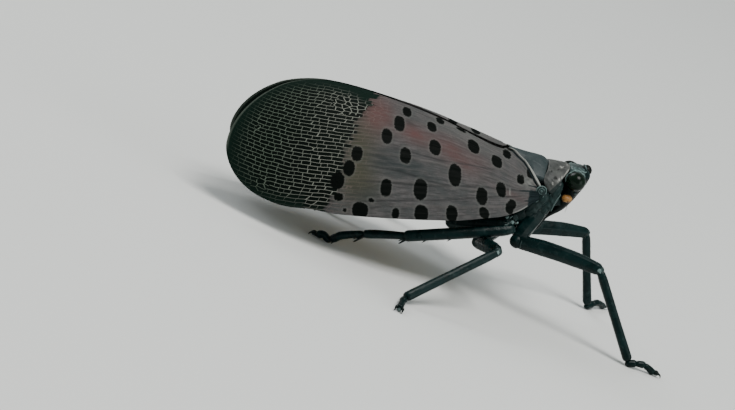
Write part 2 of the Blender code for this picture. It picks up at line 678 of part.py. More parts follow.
def arm_hind_tibia(tibia, start, heel, side):
    """The row of spines down a hind tibia and the crown of spines at its end."""
    way = (heel - start).normalized()
    spines = []
    for number, place in enumerate(HIND_SPINES):
        root = start.lerp(heel, place)
        lean = Vector((0.0, 0.35 * side, -0.85 if number % 2 else 0.8)).normalized()
        out, along_shin = SPINE_TILT
        tip = root + (lean * out + way * along_shin) * SPINE_LENGTH
        spines.append(spike(root, tip, SPINE_RADIUS))
    for turn in CROWN_TURNS:
        root = heel - way * CROWN_SETBACK
        lean = Vector((0.0, 0.8 * turn * side, -0.75 + 0.3 * abs(turn))).normalized()
        out, along_shin = CROWN_TILT
        tip = root + (lean * out + way * along_shin) * SPINE_LENGTH
        spines.append(spike(root, tip, SPINE_RADIUS))
    combine(tibia, spines, "UNION")


def centre_on_floor(root):
    """Move the whole insect so that the middle of its box is over the floor's origin."""
    bpy.context.view_layer.update()
    points = [node.matrix_world @ vertex.co for node in bpy.data.objects
              if node.type == "MESH" for vertex in node.data.vertices]
    for axis in (0, 1):
        values = [point[axis] for point in points]
        root.location[axis] -= (min(values) + max(values)) / 2


def main():
    remove_scene_objects()
    root = bpy.data.objects.new("lanternfly", None)
    bpy.context.scene.collection.objects.link(root)
    body = bpy.data.objects.new("body_frame", None)
    body.parent = root
    body.location = (0.0, 0.0, BODY_HEIGHT * MM)
    body.rotation_euler = (0.0, -BODY_PITCH, 0.0)
    bpy.context.scene.collection.objects.link(body)
    to_floor = Matrix.Translation((0.0, 0.0, BODY_HEIGHT)) @ Matrix.Rotation(-BODY_PITCH, 4, "Y")

    make_head(body)
    make_face_parts(body)
    make_rostrum(body)
    make_pronotum(body)
    make_mesonotum(body)
    make_thorax(body)
    make_abdomen(body)
    for word, side in SIDES.items():
        make_forewing(f"forewing_{word}", side, body)
        make_hindwing(f"hindwing_{word}", side, body)
        for pair in HIPS:
            make_leg(pair, word, root, to_floor)
    centre_on_floor(root)


main()
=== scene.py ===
"""The looks of a life-size spotted lanternfly at rest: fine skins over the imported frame.

Shapes are computed in millimetres, the trunk and wings in the body frame (x to the head, y to the
insect's left, z up, pitched head-up) and the legs in the floor frame, and then put in the row frame.
"""
from math import cos, pi, radians, sin

import bpy
import numpy as np
from mathutils import Matrix, Vector

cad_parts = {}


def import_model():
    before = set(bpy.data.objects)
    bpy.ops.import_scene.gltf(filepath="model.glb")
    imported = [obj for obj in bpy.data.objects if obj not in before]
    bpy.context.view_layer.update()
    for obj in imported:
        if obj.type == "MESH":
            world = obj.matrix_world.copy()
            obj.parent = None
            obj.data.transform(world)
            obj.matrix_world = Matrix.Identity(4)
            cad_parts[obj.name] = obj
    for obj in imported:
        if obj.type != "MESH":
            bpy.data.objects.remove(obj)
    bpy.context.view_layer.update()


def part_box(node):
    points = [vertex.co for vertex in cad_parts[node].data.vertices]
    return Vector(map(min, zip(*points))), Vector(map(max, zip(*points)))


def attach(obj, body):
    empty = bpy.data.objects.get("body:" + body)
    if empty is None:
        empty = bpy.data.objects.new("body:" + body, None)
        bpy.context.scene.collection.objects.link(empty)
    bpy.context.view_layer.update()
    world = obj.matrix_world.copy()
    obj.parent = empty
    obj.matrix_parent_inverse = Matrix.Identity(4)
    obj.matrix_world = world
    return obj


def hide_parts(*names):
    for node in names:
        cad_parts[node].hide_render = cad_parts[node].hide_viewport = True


MM = 0.001
PITCH = radians(10.0)
BODY_HEIGHT = 8.4
SIDES = {"right": -1.0, "left": 1.0}

# Camera: where it looks from, about the body frame, and the photograph's scale at the right tegula
CAMERA_BEHIND = radians(13.4)
CAMERA_ABOVE = radians(14.7)
CAMERA_ROLL = radians(14.42)
CAMERA_DISTANCE = 200.0
CAMERA_ANCHOR = (0.0, -2.2, 0.0)
CAMERA_ANCHOR_PIXEL = (541.9, 191.0)
PIXELS_PER_MM = 15.0
PHOTO_SIZE = (735, 410)
SENSOR_WIDTH = 36.0

# Forewing plane: s rearward from the wing root, w outward from the crest. Each shape along it is
# given at stations of (s, value), in millimetres or degrees
CREST_HALF_GAP = 0.15
WING_INNER = ((0.15, 2.45), (0.51, 1.95), (0.93, 1.32), (1.28, 0.8), (1.96, 0.2), (2.6, 0.0))
WING_APEX_CENTRE = (15.8, 4.2)
WING_APEX_REACH = {"right": 5.45, "left": 4.95}
TIP_FULLNESS = (2.0, 1.7)
CREST_HEIGHT = ((0.0, 1.75), (2.5, 1.93), (7.5, 3.21), (12.1, 3.9), (15.2, 4.08), (17.8, 3.75),
                (19.1, 3.45), (21.3, 2.9))
WING_WIDTH = ((0.2, 3.5), (0.45, 3.7), (1.3, 4.55), (2.5, 5.45), (3.5, 6.05), (6.1, 7.4), (9.5, 8.6),
              (13.4, 9.3), (15.7, 9.1))
WING_CREST_SLOPE = ((0.0, 16.0), (10.0, 17.0), (15.0, 26.0), (18.0, 40.0), (21.3, 54.0))
WING_MEAN_SLOPE = ((0.0, 43.0), (3.5, 43.0), (6.0, 47.5), (9.5, 50.0), (13.4, 54.0),
                   (16.0, 58.0), (21.3, 72.0))
WING_SLOPE_POWER = 0.7
WING_SEAM = ((0.0, 0.0), (2.2, 0.0), (3.0, 0.4), (5.0, 0.45), (6.5, 0.34), (8.0, 0.26), (11.0, 0.08),
             (12.5, 0.0))
SEAM_REACH = 2.5
SEAM_CROSSING = 1.6
CREST_RISE = ((0.0, 0.0), (1.4, 0.06), (2.5, 0.15), (4.8, 0.1), (6.4, 0.0), (22.0, 0.0))
CREST_RISE_REACH = 0.65
WING_OVERLAP = 0.06
WING_SKIN_THICKNESS = 0.11
WING_EDGE_THICKNESS = 0.03
WING_LENGTH = 21.0
WING_GRID = (380, 190)
WING_ATLAS_SIZE = (22.0, 20.0)
VEIN_HEIGHT = 0.05
BORDER_HEIGHT = 0.07
GROOVE_DEPTH = 0.07
CREASE_DEPTH = 0.05

# Forewing marks: black spots as (s, w, half length along s, half length along w)
SPOTS = (
    (0.93, 1.79, 0.24, 0.34), (1.61, 2.5, 0.24, 0.32), (2.05, 4.45, 0.26, 0.3),
    (2.2, 4.78, 0.28, 0.34), (2.4, 0.18, 0.26, 0.13), (2.64, 0.76, 0.27, 0.34),
    (2.94, 3.79, 0.33, 0.47), (3.38, 1.84, 0.36, 0.46), (3.94, 5.91, 0.34, 0.33),
    (4.25, 4.88, 0.37, 0.55), (5.11, 1.51, 0.4, 0.52), (6.02, 0.56, 0.3, 0.15),
    (6.12, 6.92, 0.37, 0.5), (6.28, 4.33, 0.42, 0.72), (7.56, 0.6, 0.28, 0.26),
    (7.85, 3.03, 0.38, 0.53), (8.15, 1.49, 0.31, 0.37), (8.17, 7.77, 0.45, 0.53),
    (8.5, 6.26, 0.43, 0.66), (9.81, 4.37, 0.35, 0.52), (9.88, 8.34, 0.21, 0.32),
    (9.92, 0.95, 0.28, 0.38), (10.41, 2.17, 0.34, 0.56), (10.79, 6.88, 0.34, 0.53),
    (11.19, 3.4, 0.33, 0.5), (11.61, 7.93, 0.15, 0.1), (12.21, 8.73, 0.5, 0.48),
    (13.01, 5.15, 0.33, 0.46), (13.19, 8.96, 0.09, 0.09), (13.38, 6.2, 0.34, 0.48),
    (13.73, 8.18, 0.26, 0.23), (13.98, 7.15, 0.4, 0.52),
)
CREST_SPOTS = ((2.36, -0.15, 0.27, 0.3), (4.95, -0.36, 0.31, 0.3), (6.63, -0.33, 0.31, 0.28))
# How much further forward a shorter wing's marks lie, per millimetre of its tip
MARK_DRIFT = 2.1
SPOT_GROWTH = 0.03
SPOT_SQUARENESS = 2.4
# The tip's net: where it starts as (w, s), its edge by the crest as (s, w), the height of a row,
# the cells per millimetre with their tightening, and the rows' fan with the s that it opens from
NET_START = ((0.0, 12.0), (1.0, 12.35), (1.9, 12.85), (3.5, 13.4), (5.0, 13.68), (7.7, 13.9),
             (8.7, 14.3), (9.4, 14.8))
NET_CORNER = ((11.8, 0.85), (12.6, 1.1), (13.3, 0.85), (14.2, 0.5), (17.0, 0.3))
NET_ROW_PITCH = 0.25
NET_CELLS = (1.3, 0.07)
NET_FAN = (0.05, 14.3)
# Veins as shares of the wing's width, dark streaks as (w, lean, length, width), the pale bar by the
# root as (s, w, half length along s, half length along w), and creases as stations of (s, w)
MAIN_VEINS = (0.11, 0.27, 0.43, 0.58, 0.73, 0.88)
BRANCH_VEINS = (0.19, 0.35, 0.5, 0.655, 0.8, 0.94)
ROOT_STREAKS = ((2.83, 0.3, 2.4, 0.045), (3.5, 0.32, 1.6, 0.06), (2.6, 0.12, 1.4, 0.05))
ROOT_CROSS = (2.3, 3.65, 0.05, 0.3)
CREASES = (((0.9, 3.4), (3.7, 4.68), (6.3, 6.08), (8.7, 7.13), (10.9, 7.81), (13.5, 8.55)),
           ((1.4, 3.17), (4.5, 4.33), (7.2, 5.4), (10.0, 5.6), (12.7, 5.85)),
           ((3.0, 2.4), (5.3, 3.13), (7.4, 3.79), (9.5, 4.04), (11.2, 4.22)),
           ((3.6, 4.0), (6.0, 5.0), (8.4, 6.0), (11.5, 6.7), (13.2, 7.0)))
# Tints that show through the basal part, as (s, w, reach along s, reach along w, strength)
PINK_TINTS = ((12.0, 1.8, 1.1, 1.5, 0.95), (9.4, 2.6, 1.0, 0.7, 0.85), (7.0, 2.6, 1.3, 0.9, 0.6),
              (5.6, 3.3, 1.2, 0.8, 0.4), (2.3, 3.8, 1.2, 0.3, 0.35), (4.6, 2.4, 0.9, 0.6, 0.25))
COOL_TINTS = ((10.2, 5.0, 2.2, 0.9, 1.0), (6.3, 5.7, 3.5, 0.8, 0.5), (9.7, 1.7, 0.5, 0.45, 0.6),
              (7.0, 8.2, 6.5, 0.55, 0.25), (3.6, 3.2, 1.0, 0.5, 0.35), (12.0, 7.6, 1.2, 0.6, 0.5))
OLIVE_TINTS = ((12.9, 4.6, 1.2, 2.6, 1.0), (12.6, 7.2, 1.4, 1.2, 0.7))

# Hindwing, folded under the forewing in the same plane
HINDWING_DEPTH = 0.9
HINDWING_THICKNESS = 0.08
HINDWING_GRID = (130, 70)
PLEATS = 9
PLEAT_HEIGHT = 0.05
HINDWING_INNER = ((3.3, 2.5), (4.8, 1.1), (12.0, 0.9))
HINDWING_OUTER = ((3.2, 3.4), (4.8, 4.9), (8.0, 6.4), (12.0, 7.3))
HINDWING_APEX_CENTRE = (12.0, 4.1)
HINDWING_APEX_REACH = 3.9
HINDWING_SPOTS = ((5.6, 2.6, 0.3, 0.3), (6.3, 4.3, 0.35, 0.3), (7.4, 2.2, 0.3, 0.35),
                  (7.9, 5.3, 0.3, 0.3), (8.6, 3.6, 0.35, 0.35), (9.4, 1.9, 0.3, 0.3),
                  (9.5, 5.6, 0.3, 0.3), (6.9, 3.3, 0.25, 0.25))

# Trunk stations along x: half width, top, bottom
THORAX_STATIONS = ((1.9, 0.75, 0.3, -0.9), (1.6, 0.98, 0.5, -1.15), (1.2, 1.25, 0.72, -1.5),
                   (0.8, 1.42, 0.82, -2.0), (0.4, 1.5, 0.80, -2.4), (-0.3, 1.65, 0.85, -2.75),
                   (-1.1, 1.6, 0.9, -2.95), (-1.9, 1.7, 0.7, -3.0), (-2.7, 1.8, 0.20, -3.0),
                   (-3.5, 1.75, -0.10, -2.9), (-4.2, 1.5, -0.30, -2.65), (-4.9, 1.3, -0.5, -2.2))
THORAX_WAIST = -1.1
# Each suture as its place along x, lean and depth
SUTURES = ((0.75, 0.25, 0.05), (-0.75, 0.35, 0.07), (-1.9, 0.2, 0.05), (-2.75, 0.3, 0.07),
           (-3.7, 0.15, 0.05))
SUTURE_WIDTH = 0.07
# Each raised line as a path, its radius and its share of the pale tone
FLANK_LINES = (
    (((0.25, 2.05, -0.35), (-0.1, 1.98, -0.85), (-0.6, 1.95, -1.2), (-1.1, 1.9, -1.32)), 0.045, 0.55),
    (((1.42, 1.78, -0.1), (1.2, 1.84, -0.62), (1.12, 1.82, -1.0), (1.05, 1.75, -1.4)), 0.03, 0.55),
    (((0.75, 1.78, -0.2), (0.55, 1.72, -0.7), (0.25, 1.68, -1.2)), 0.035, 0.25),
)
# Lobes as paths with their radii, fillings as centres with their radii, and knobs as (centre,
# radius, share of the pale tone, which paints a glint on the knob)
FLANK_LOBES = (
    (((1.25, 1.3, 0.7), (1.05, 1.5, 0.0), (0.85, 1.55, -0.8), (0.4, 1.6, -1.7)),
     ((0.3, 0.25), (0.46, 0.34), (0.44, 0.34), (0.36, 0.3))),
    (((0.3, 1.75, 0.1), (0.2, 1.78, -0.6), (-0.1, 1.78, -1.2), (-0.5, 1.75, -2.0)),
     ((0.35, 0.25), (0.42, 0.3), (0.42, 0.3), (0.4, 0.3))),
)
FLANK_FILLINGS = (((0.6, 1.0, -1.45), (0.5, 0.6, 0.75)), ((-0.55, 1.75, -0.75), (0.62, 0.3, 0.8)),
                  ((-1.0, 1.5, -2.0), (0.8, 0.5, 0.7)), ((-1.6, 1.6, -1.3), (0.85, 0.35, 0.85)))
COXA_KNOBS = (((-1.35, 2.1, -2.2), 0.24, 0.1), ((-1.8, 2.2, -2.45), 0.28, 0.08),
              ((-1.45, 2.35, -2.5), 0.13, 0.95), ((-1.9, 2.4, -2.2), 0.11, 0.9),
              ((-1.15, 2.3, -2.5), 0.09, 0.9), ((-1.6, 2.35, -2.15), 0.08, 0.95))
ABDOMEN_STATIONS = ((4.6, 1.2, -0.4, -2.0), (5.5, 1.9, 0.05, -2.3), (7.0, 2.25, 0.35, -2.5),
                    (9.0, 2.3, 0.60, -2.45), (11.0, 2.0, 0.75, -2.15), (13.0, 1.35, 0.50, -1.6),
                    (14.4, 0.45, 0.0, -0.8))
ABDOMEN_SEGMENTS = 8

# Plates of the back. The pronotum's edges are stations of (degrees from its top, x), its pits (x,
# degrees, radius), its pale patches (degrees, x, reach in degrees, reach along x, strength) and its
# dark front corner (degrees, x, lean)
PRONOTUM_HALF_WIDTH = 2.05
PRONOTUM_TOP = 1.58
PRONOTUM_THICKNESS = 0.4
PRONOTUM_CROWN = 0.05
PRONOTUM_KEEL_HEIGHT = 0.03
PRONOTUM_PIT_DEPTH = 0.09
PRONOTUM_FRONT = ((0, 1.93), (15, 1.88), (29, 1.7), (50, 1.36), (66, 1.2), (80, 0.98), (92, 0.78))
PRONOTUM_REAR = ((0, 0.48), (30, 0.32), (60, 0.05), (75, 0.15), (92, 0.56))
PRONOTUM_REACH = 92.0
PRONOTUM_PITS = ((0.8, 55.0, 0.1), (1.0, 31.0, 0.07), (0.5, 40.0, 0.06), (1.45, 20.0, 0.07))
PRONOTUM_PATCHES = ((22.5, 1.22, 3.5, 0.11, 1.1), (8.0, 1.72, 6.0, 0.1, 0.6),
                    (20.0, 1.4, 3.0, 0.06, 0.7), (50.5, 1.25, 5.0, 0.05, 1.1),
                    (57.0, 1.07, 4.0, 0.06, 1.1), (62.0, 1.0, 3.0, 0.08, 0.7),
                    (69.0, 0.65, 4.0, 0.07, 0.8))
PRONOTUM_CORNER = (52.0, 1.324, 0.0223)
MESONOTUM_FRONT = 0.5
MESONOTUM_TIP = -2.45
MESONOTUM_HALF_WIDTH = 1.73
MESONOTUM_TOP = ((-2.5, 2.13), (-1.6, 2.05), (-0.8, 1.91), (-0.2, 1.86), (0.15, 1.76), (0.4, 1.56))
MESONOTUM_FALL = 0.445
MESONOTUM_SWEEP = 0.45
MESONOTUM_SIDE = 0.75
MESONOTUM_THICKNESS = 0.4
MESONOTUM_KEELS = (0.0, 0.62, 1.15)

# Head, as level slices: height, back x, front x, half width
HEAD_SLICES = ((-2.6, 0.85, 1.1, 0.2), (-2.2, 0.98, 1.35, 0.4), (-1.5, 1.4, 2.1, 0.72),
               (-0.7, 1.6, 2.6, 1.05), (-0.1, 1.6, 2.88, 1.22), (0.4, 1.62, 3.14, 1.25),
               (0.9, 1.7, 3.34, 1.18), (1.2, 1.75, 3.42, 1.05), (1.45, 1.85, 3.3, 0.9),
               (1.6, 2.0, 3.1, 0.62))
HEAD_SQUARENESS = 0.8
FACE_RIDGE_HEIGHTS = (0.05, 0.025)
EYE_RIM_HEIGHT = 0.05
KNOB_CENTRE = (3.17, 0.0, 1.42)
KNOB_RADII = (0.36, 0.42, 0.38)
EYE_CENTRE = (2.35, 1.35, 0.89)
EYE_RADIUS = 0.66
EYE_SKIN_CENTRE = (2.32, 1.35, 0.85)
EYE_RIM_DEPTH = 0.28
EYE_RIM_RADIUS = 0.67
EYE_BRIDGE = ((2.2, 0.8, 0.9), (2.35, 1.0, 0.9))
VERTEX_EDGE_LEVEL = 1.5
VERTEX_GROOVE = ((3.02, -0.55, 1.62), (2.98, 0.0, 1.72), (3.02, 0.55, 1.62))
OCELLUS = (2.5, 1.2, -0.02)
ANTENNA_ROOT = (1.98, 1.12, -0.3)
ANTENNA_BULB = (1.95, 1.6, -0.36)
BULB_RADII = (0.36, 0.28, 0.25)
BRISTLE = ((0.05, 0.22, -0.05), (0.0, 0.55, -0.3), (-0.1, 0.8, -0.75))
ROSTRUM_PATH = ((0.95, 0.0, -2.75), (0.6, 0.0, -3.2), (0.2, 0.0, -3.35), (-1.5, 0.0, -3.55),
                (-4.1, 0.0, -3.6))
ROSTRUM_RADII = (0.24, 0.22, 0.25, 0.2, 0.06)
TEGULA_CENTRE = (-0.08, 2.36, 0.05)
TEGULA_RADII = (0.34, 0.16, 0.33)
# Each ring of the tegula as its radius, swing in radians and share of the pale tone
TEGULA_RINGS = ((0.34, (-0.5, 3.4), 0.65), (0.19, (0.3, 5.2), 0.45))
# The pale ball at the middle of a tegula's inner ring, a painted highlight
TEGULA_HIGHLIGHT = (-0.1, 2.5, 0.06)

# Legs: hip, trochanter and knee in the body frame, heel and toe in the floor frame, y outward.
# A pair whose legs are alike has one value for the two
HIPS = {"front": (0.55, 1.4, -1.3), "middle": (-1.6, 1.6, -2.2), "hind": (-4.1, 0.85, -2.4)}
TROCHANTERS = {
    "front_right": (-0.8, 2.2, -3.75), "front_left": (-0.72, 2.2, -4.15),
    "middle": (-3.45, 2.6, -4.2), "hind": (-5.4, 2.1, -3.3),
}
KNEES = {
    "front_right": (4.72, 4.3, -4.05), "front_left": (5.35, 4.3, -4.1),
    "middle": (-2.84, 6.4, -3.49), "hind": (-2.0, 3.3, -2.5),
}
FEET = {
    "front_right": ((9.4, 5.6), (11.45, 5.5)), "front_left": ((8.4, 4.85), (10.15, 6.7)),
    "middle": ((-7.6, 10.0), (-8.15, 12.15)),
}
HIND_HEEL = {"right": (-7.9, 4.0, 2.6), "left": (-7.6, 4.8, 2.6)}
HIND_TARSUS = {
    "right": ((-9.8, 3.5, 1.85), (-11.45, 2.95, 0.92), (-12.05, 2.62, 0.26), (-12.5, 2.42, 0.4),
              (-12.9, 2.25, 0.17)),
    "left": ((-9.5, 5.1, 1.8), (-11.2, 5.35, 0.88), (-11.9, 5.5, 0.26), (-12.3, 5.6, 0.4),
             (-12.7, 5.7, 0.17)),
}
HIND_KNEE_TURN = (0.25, 0.95, -0.1)
COXA_RADII = {"front": ((0.5, 0.35), (0.56, 0.46), (0.58, 0.48), (0.5, 0.42)),
              "middle": ((0.85, 0.7), (0.75, 0.65), (0.6, 0.55), (0.42, 0.42)),
              "hind": ((0.6, 0.6), (0.58, 0.58), (0.5, 0.5), (0.42, 0.42))}
TROCHANTER_RADIUS = {"front": 0.51, "middle": 0.44, "hind": 0.46}
FEMUR_RADIUS = {"front": 0.53, "middle": 0.5, "hind": 0.54}
FEMUR_BOW = {"front": 0.14, "middle": 0.05, "hind": 0.0}
TIBIA_RADIUS = {"front": 0.33, "middle": 0.34, "hind": 0.41}
TARSUS_RADIUS = {"front": 0.24, "middle": 0.23, "hind": 0.265}
FOOT_JOINTS = {"front": (0.0, 0.33, 0.6, 1.0), "middle": (0.0, 0.33, 0.6, 1.0),
               "hind": (0.0, 0.46, 0.82, 1.0)}
HEEL_HEIGHT = 0.36
SOLE_HEIGHT = 0.22
TOE_HEIGHT = 0.17
ARCH_RISE = 0.28
# Hind spines, as shares of the tibia from its bend to the heel
HIND_SPINES = (0.55, 0.42, 0.84, 0.67)
SPINE_LENGTH = 1.0
CLAW_LENGTH = 0.5
HAIR_LENGTH = 0.16
HAIR_RADIUS = 0.009
HAIR_SPREAD = 0.75
HAIR_LEAN = 0.7
FEMUR_HAIRS = 110
TIBIA_HAIRS = 200
FOOT_HAIRS = 70
HAIR_SEED = 7

# Tones of a shape, as its shares of the material's pale and black colours
PALE = np.array((1.0, 0.0, 0.0))
BLACK = np.array((0.0, 1.0, 0.0))

# Colours of the cuticle, as dark and light, and of the back's plates, as dark, light and patches
CUTICLE_TONES = ((0.0009, 0.0068, 0.0068), (0.165, 0.235, 0.23))
GREY_TONES = ((0.031, 0.033, 0.032), (0.056, 0.059, 0.056), (0.22, 0.22, 0.205))
BLUE_TONES = ((0.016, 0.026, 0.028), (0.026, 0.037, 0.039), (0.07, 0.085, 0.085))

# Studio lamps in metres: name, place, size, power and tint
LIGHTS = (("key", (0.05, -0.16, 0.42), 0.22, 2.3, (1.0, 0.98, 0.95)),
          ("fill", (0.35, -0.30, 0.12), 0.30, 0.7, (0.92, 1.0, 0.97)),
          ("back", (-0.25, 0.30, 0.30), 0.25, 1.1, (0.95, 0.98, 1.0)))
LIT_POINT = (0.0, 0.0, 0.005)
STUDIO_COLOUR = (0.80, 0.86, 0.84, 1.0)
STUDIO_STRENGTH = 0.5
FLOOR_SIZE = 4.0
FLOOR_COLOUR = (0.62, 0.63, 0.62, 1.0)


def ease(low, high, x):
    """A smooth rise from 0 at low to 1 at high, or a fall where high is the lower."""
    t = np.clip((np.asarray(x, float) - low) / (high - low), 0.0, 1.0)
    return t * t * (3 - 2 * t)


def bell(x, middle, width):
    """A soft bump of height 1."""
    return np.exp(-((x - middle) / width) ** 2)


def join(*parts):
    """Values side by side, as points or as marks."""
    return np.stack(np.broadcast_arrays(*parts), -1)


def unit(vectors):
    """Vectors brought to length 1."""
    vectors = np.asarray(vectors, float)
    return vectors / (np.linalg.norm(vectors, axis=-1, keepdims=True) + 1e-12)


def mirror(points, side):
    """Points of the insect's left side, put on a side."""
    return np.array(points, float) * (1.0, side, 1.0)


def along(stations, x):
    """Smooth values at x through stations of (x, value), by Hermite pieces."""
    xs, ys = np.array(stations, float).T
    x = np.clip(np.asarray(x, float), xs[0], xs[-1])
    k = np.clip(np.searchsorted(xs, x, "right") - 1, 0, len(xs) - 2)
    low = np.maximum(np.arange(len(xs)) - 1, 0)
    high = np.minimum(np.arange(len(xs)) + 1, len(xs) - 1)
    slope = (ys[high] - ys[low]) / (xs[high] - xs[low])
    span = xs[k + 1] - xs[k]
    t = (x - xs[k]) / span
    start = (1 + 2 * t) * (1 - t) ** 2 * ys[k] + t * (1 - t) ** 2 * span * slope[k]
    return start + t * t * (3 - 2 * t) * ys[k + 1] + t * t * (t - 1) * span * slope[k + 1]


def steps_along(path):
    """Distances from a path's start to each of its points."""
    return np.concatenate([[0.0], np.cumsum(np.linalg.norm(np.diff(path, axis=0), axis=1))])


def points_along(path, at):
    """Smooth points at distances along a path."""
    steps = steps_along(path)
    return np.stack([along(np.stack([steps, path[:, k]], 1), at) for k in range(3)], 1)


def grid_faces(rows, columns, wrap=False, start=0):
    """Quads over a grid of points stored row by row."""
    r, c = np.meshgrid(np.arange(rows - 1), np.arange(columns if wrap else columns - 1),
                       indexing="ij")
    n = (c + 1) % columns
    quads = join(r * columns + c, r * columns + n, (r + 1) * columns + n, (r + 1) * columns + c)
    return (quads.reshape(-1, 4) + start).tolist()


def loft(rings, **marks):
    """A closed shape over rings (count, sides, 3), with a fan at each end."""
    rings = np.asarray(rings, float)
    count, sides = rings.shape[:2]
    points = np.vstack([rings.reshape(-1, 3), rings[0].mean(0), rings[-1].mean(0)])
    faces = grid_faces(count, sides, wrap=True)
    hub = count * sides
    faces += [[(k + 1) % sides, k, hub] for k in range(sides)]
    last = (count - 1) * sides
    faces += [[last + k, last + (k + 1) % sides, hub + 1] for k in range(sides)]
    grown = {}
    for name, values in marks.items():
        values = np.broadcast_to(np.asarray(values, float), rings.shape[:2] + (3,)).reshape(-1, 3)
        grown[name] = np.vstack([values, values[0], values[-1]])
    return points, faces, grown


def thin_sheet(outer, inner, turned=False, **marks):
    """A closed sheet between two grids of points, turned where the grids run the other way round."""
    rows, columns = outer.shape[:2]
    half = rows * columns
    points = np.vstack([outer.reshape(-1, 3), inner.reshape(-1, 3)])
    faces = grid_faces(rows, columns)
    faces += [quad[::-1] for quad in grid_faces(rows, columns, start=half)]
    rim = [c for c in range(columns)] + [r * columns + columns - 1 for r in range(1, rows)]
    rim += [(rows - 1) * columns + c for c in range(columns - 2, -1, -1)]
    rim += [r * columns for r in range(rows - 2, 0, -1)]
    for a, b in zip(rim, rim[1:] + rim[:1]):
        faces.append([b, a, half + a, half + b])
    if turned:
        faces = [face[::-1] for face in faces]
    doubled = {name: np.vstack([np.asarray(v, float).reshape(-1, 3)] * 2) for name, v in marks.items()}
    return points, faces, doubled


def resample(path, radii, count):
    """A smooth path of count points through given ones, with one radius or several carried along."""
    path = np.asarray(path, float)
    steps = steps_along(path)
    at = np.linspace(0.0, steps[-1], count)
    radii = np.asarray(radii, float)
    if radii.ndim == 0:
        radii = np.full(len(path), radii)
    if radii.ndim == 1:
        radii = np.stack([radii, radii], 1)
    return points_along(path, at), np.stack([np.interp(at, steps, radii[:, k]) for k in (0, 1)], 1)


def tube(path, radii, count=24, sides=16, up=(0.0, 0.0, 1.0), carinae=0, carina=0.08, **marks):
    """A round-ended limb along a path with radii across and along up, ridged lengthwise by carinae."""
    line, sizes = resample(path, radii, count)
    ahead = np.gradient(line, axis=0)
    across = unit(np.cross(ahead, up))
    over = unit(np.cross(across, ahead))
    t = np.linspace(0.0, 1.0, count)
    cap = np.clip(sizes.mean() / steps_along(line)[-1], 0.02, 0.45)
    for end in (t, 1.0 - t):
        sizes = sizes * np.sqrt(1 - (1 - np.clip(end / cap, 0.0, 1.0)) ** 2 * 0.93)[:, None]
    angle = 2 * pi * np.arange(sides) / sides
    shape = np.ones(sides)
    if carinae:
        shape += carina * (np.abs(np.cos(angle * carinae / 2)) ** 6 - 0.3)
    rings = (line[:, None] + across[:, None] * (sizes[:, 0, None] * np.cos(angle) * shape)[..., None]
             + over[:, None] * (sizes[:, 1, None] * np.sin(angle) * shape)[..., None])
    return loft(rings, **marks)


def ball(centre, radii, rings=24, sides=32, **marks):
    """A closed ellipsoid with one radius or three."""
    polar = np.linspace(0.04, pi - 0.04, rings)[:, None]
    angle = 2 * pi * np.arange(sides) / sides
    shape = join(np.sin(polar) * np.cos(angle), np.sin(polar) * np.sin(angle), np.cos(polar))
    return loft(np.array(centre, float) + shape * np.array(radii, float), **marks)


def wrinkle(shape, amount, pitch):
    """A shape whose points are pushed about by slow waves, so that it looks grown."""
    points = shape[0]
    turned = points[:, [1, 2, 0]] * 2 * pi / pitch
    points += amount * np.sin(turned + 1.7 * np.sin(0.6 * turned[:, [1, 2, 0]]))
    return shape


def cones(roots, tips, radius, **marks):
    """Fine three-sided hairs from roots to tips."""
    way = tips - roots
    side = unit(np.cross(way, (0.31, 0.87, 0.38)))
    other = unit(np.cross(way, side))
    ring = [roots + radius * (side * cos(a) + other * sin(a)) for a in (0.0, 2.094, 4.189)]
    points = np.stack([*ring, tips], 1).reshape(-1, 3)
    faces = []
    for b in range(0, 4 * len(roots), 4):
        faces += [[b, b + 1, b + 3], [b + 1, b + 2, b + 3], [b + 2, b, b + 3], [b + 2, b + 1, b]]
    grown = {name: np.tile(np.asarray(v, float), (len(points), 1)) for name, v in marks.items()}
    return points, faces, grown


def add_piece(name, shapes, frame, material, nodes, atlas=None):
    """One smooth mesh from shapes in millimetres, standing for some CAD nodes."""
    names = sorted({mark for shape in shapes for mark in shape[2]})
    points, faces, marks = [], [], {mark: [] for mark in names}
    offset = 0
    for shape_points, shape_faces, shape_marks in shapes:
        points.append(shape_points)
        faces += [[v + offset for v in face] for face in shape_faces]
        for mark in names:
            marks[mark].append(shape_marks.get(mark, np.zeros((len(shape_points), 3))))
        offset += len(shape_points)
    points = np.vstack(points)
    homogeneous = np.hstack([points, np.ones((len(points), 1))])
    placed = (homogeneous @ np.array(frame).T)[:, :3] * MM
    mesh = bpy.data.meshes.new(name)
    mesh.from_pydata(placed.tolist(), [], faces)
    mesh.shade_smooth()
    for mark in names:
        attribute = mesh.attributes.new(mark, "FLOAT_VECTOR", "POINT")
        attribute.data.foreach_set("vector", np.vstack(marks[mark]).astype(np.float32).ravel())
    if atlas is not None:
        layer = mesh.uv_layers.new(name="OFBake")
        corners = np.zeros(len(mesh.loops), np.int32)
        mesh.loops.foreach_get("vertex_index", corners)
        layer.data.foreach_set("uv", atlas[corners].astype(np.float32).ravel())
    mesh.materials.append(material)
    piece = bpy.data.objects.new(name, mesh)
    bpy.context.scene.collection.objects.link(piece)
    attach(piece, "root")
    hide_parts(*nodes)


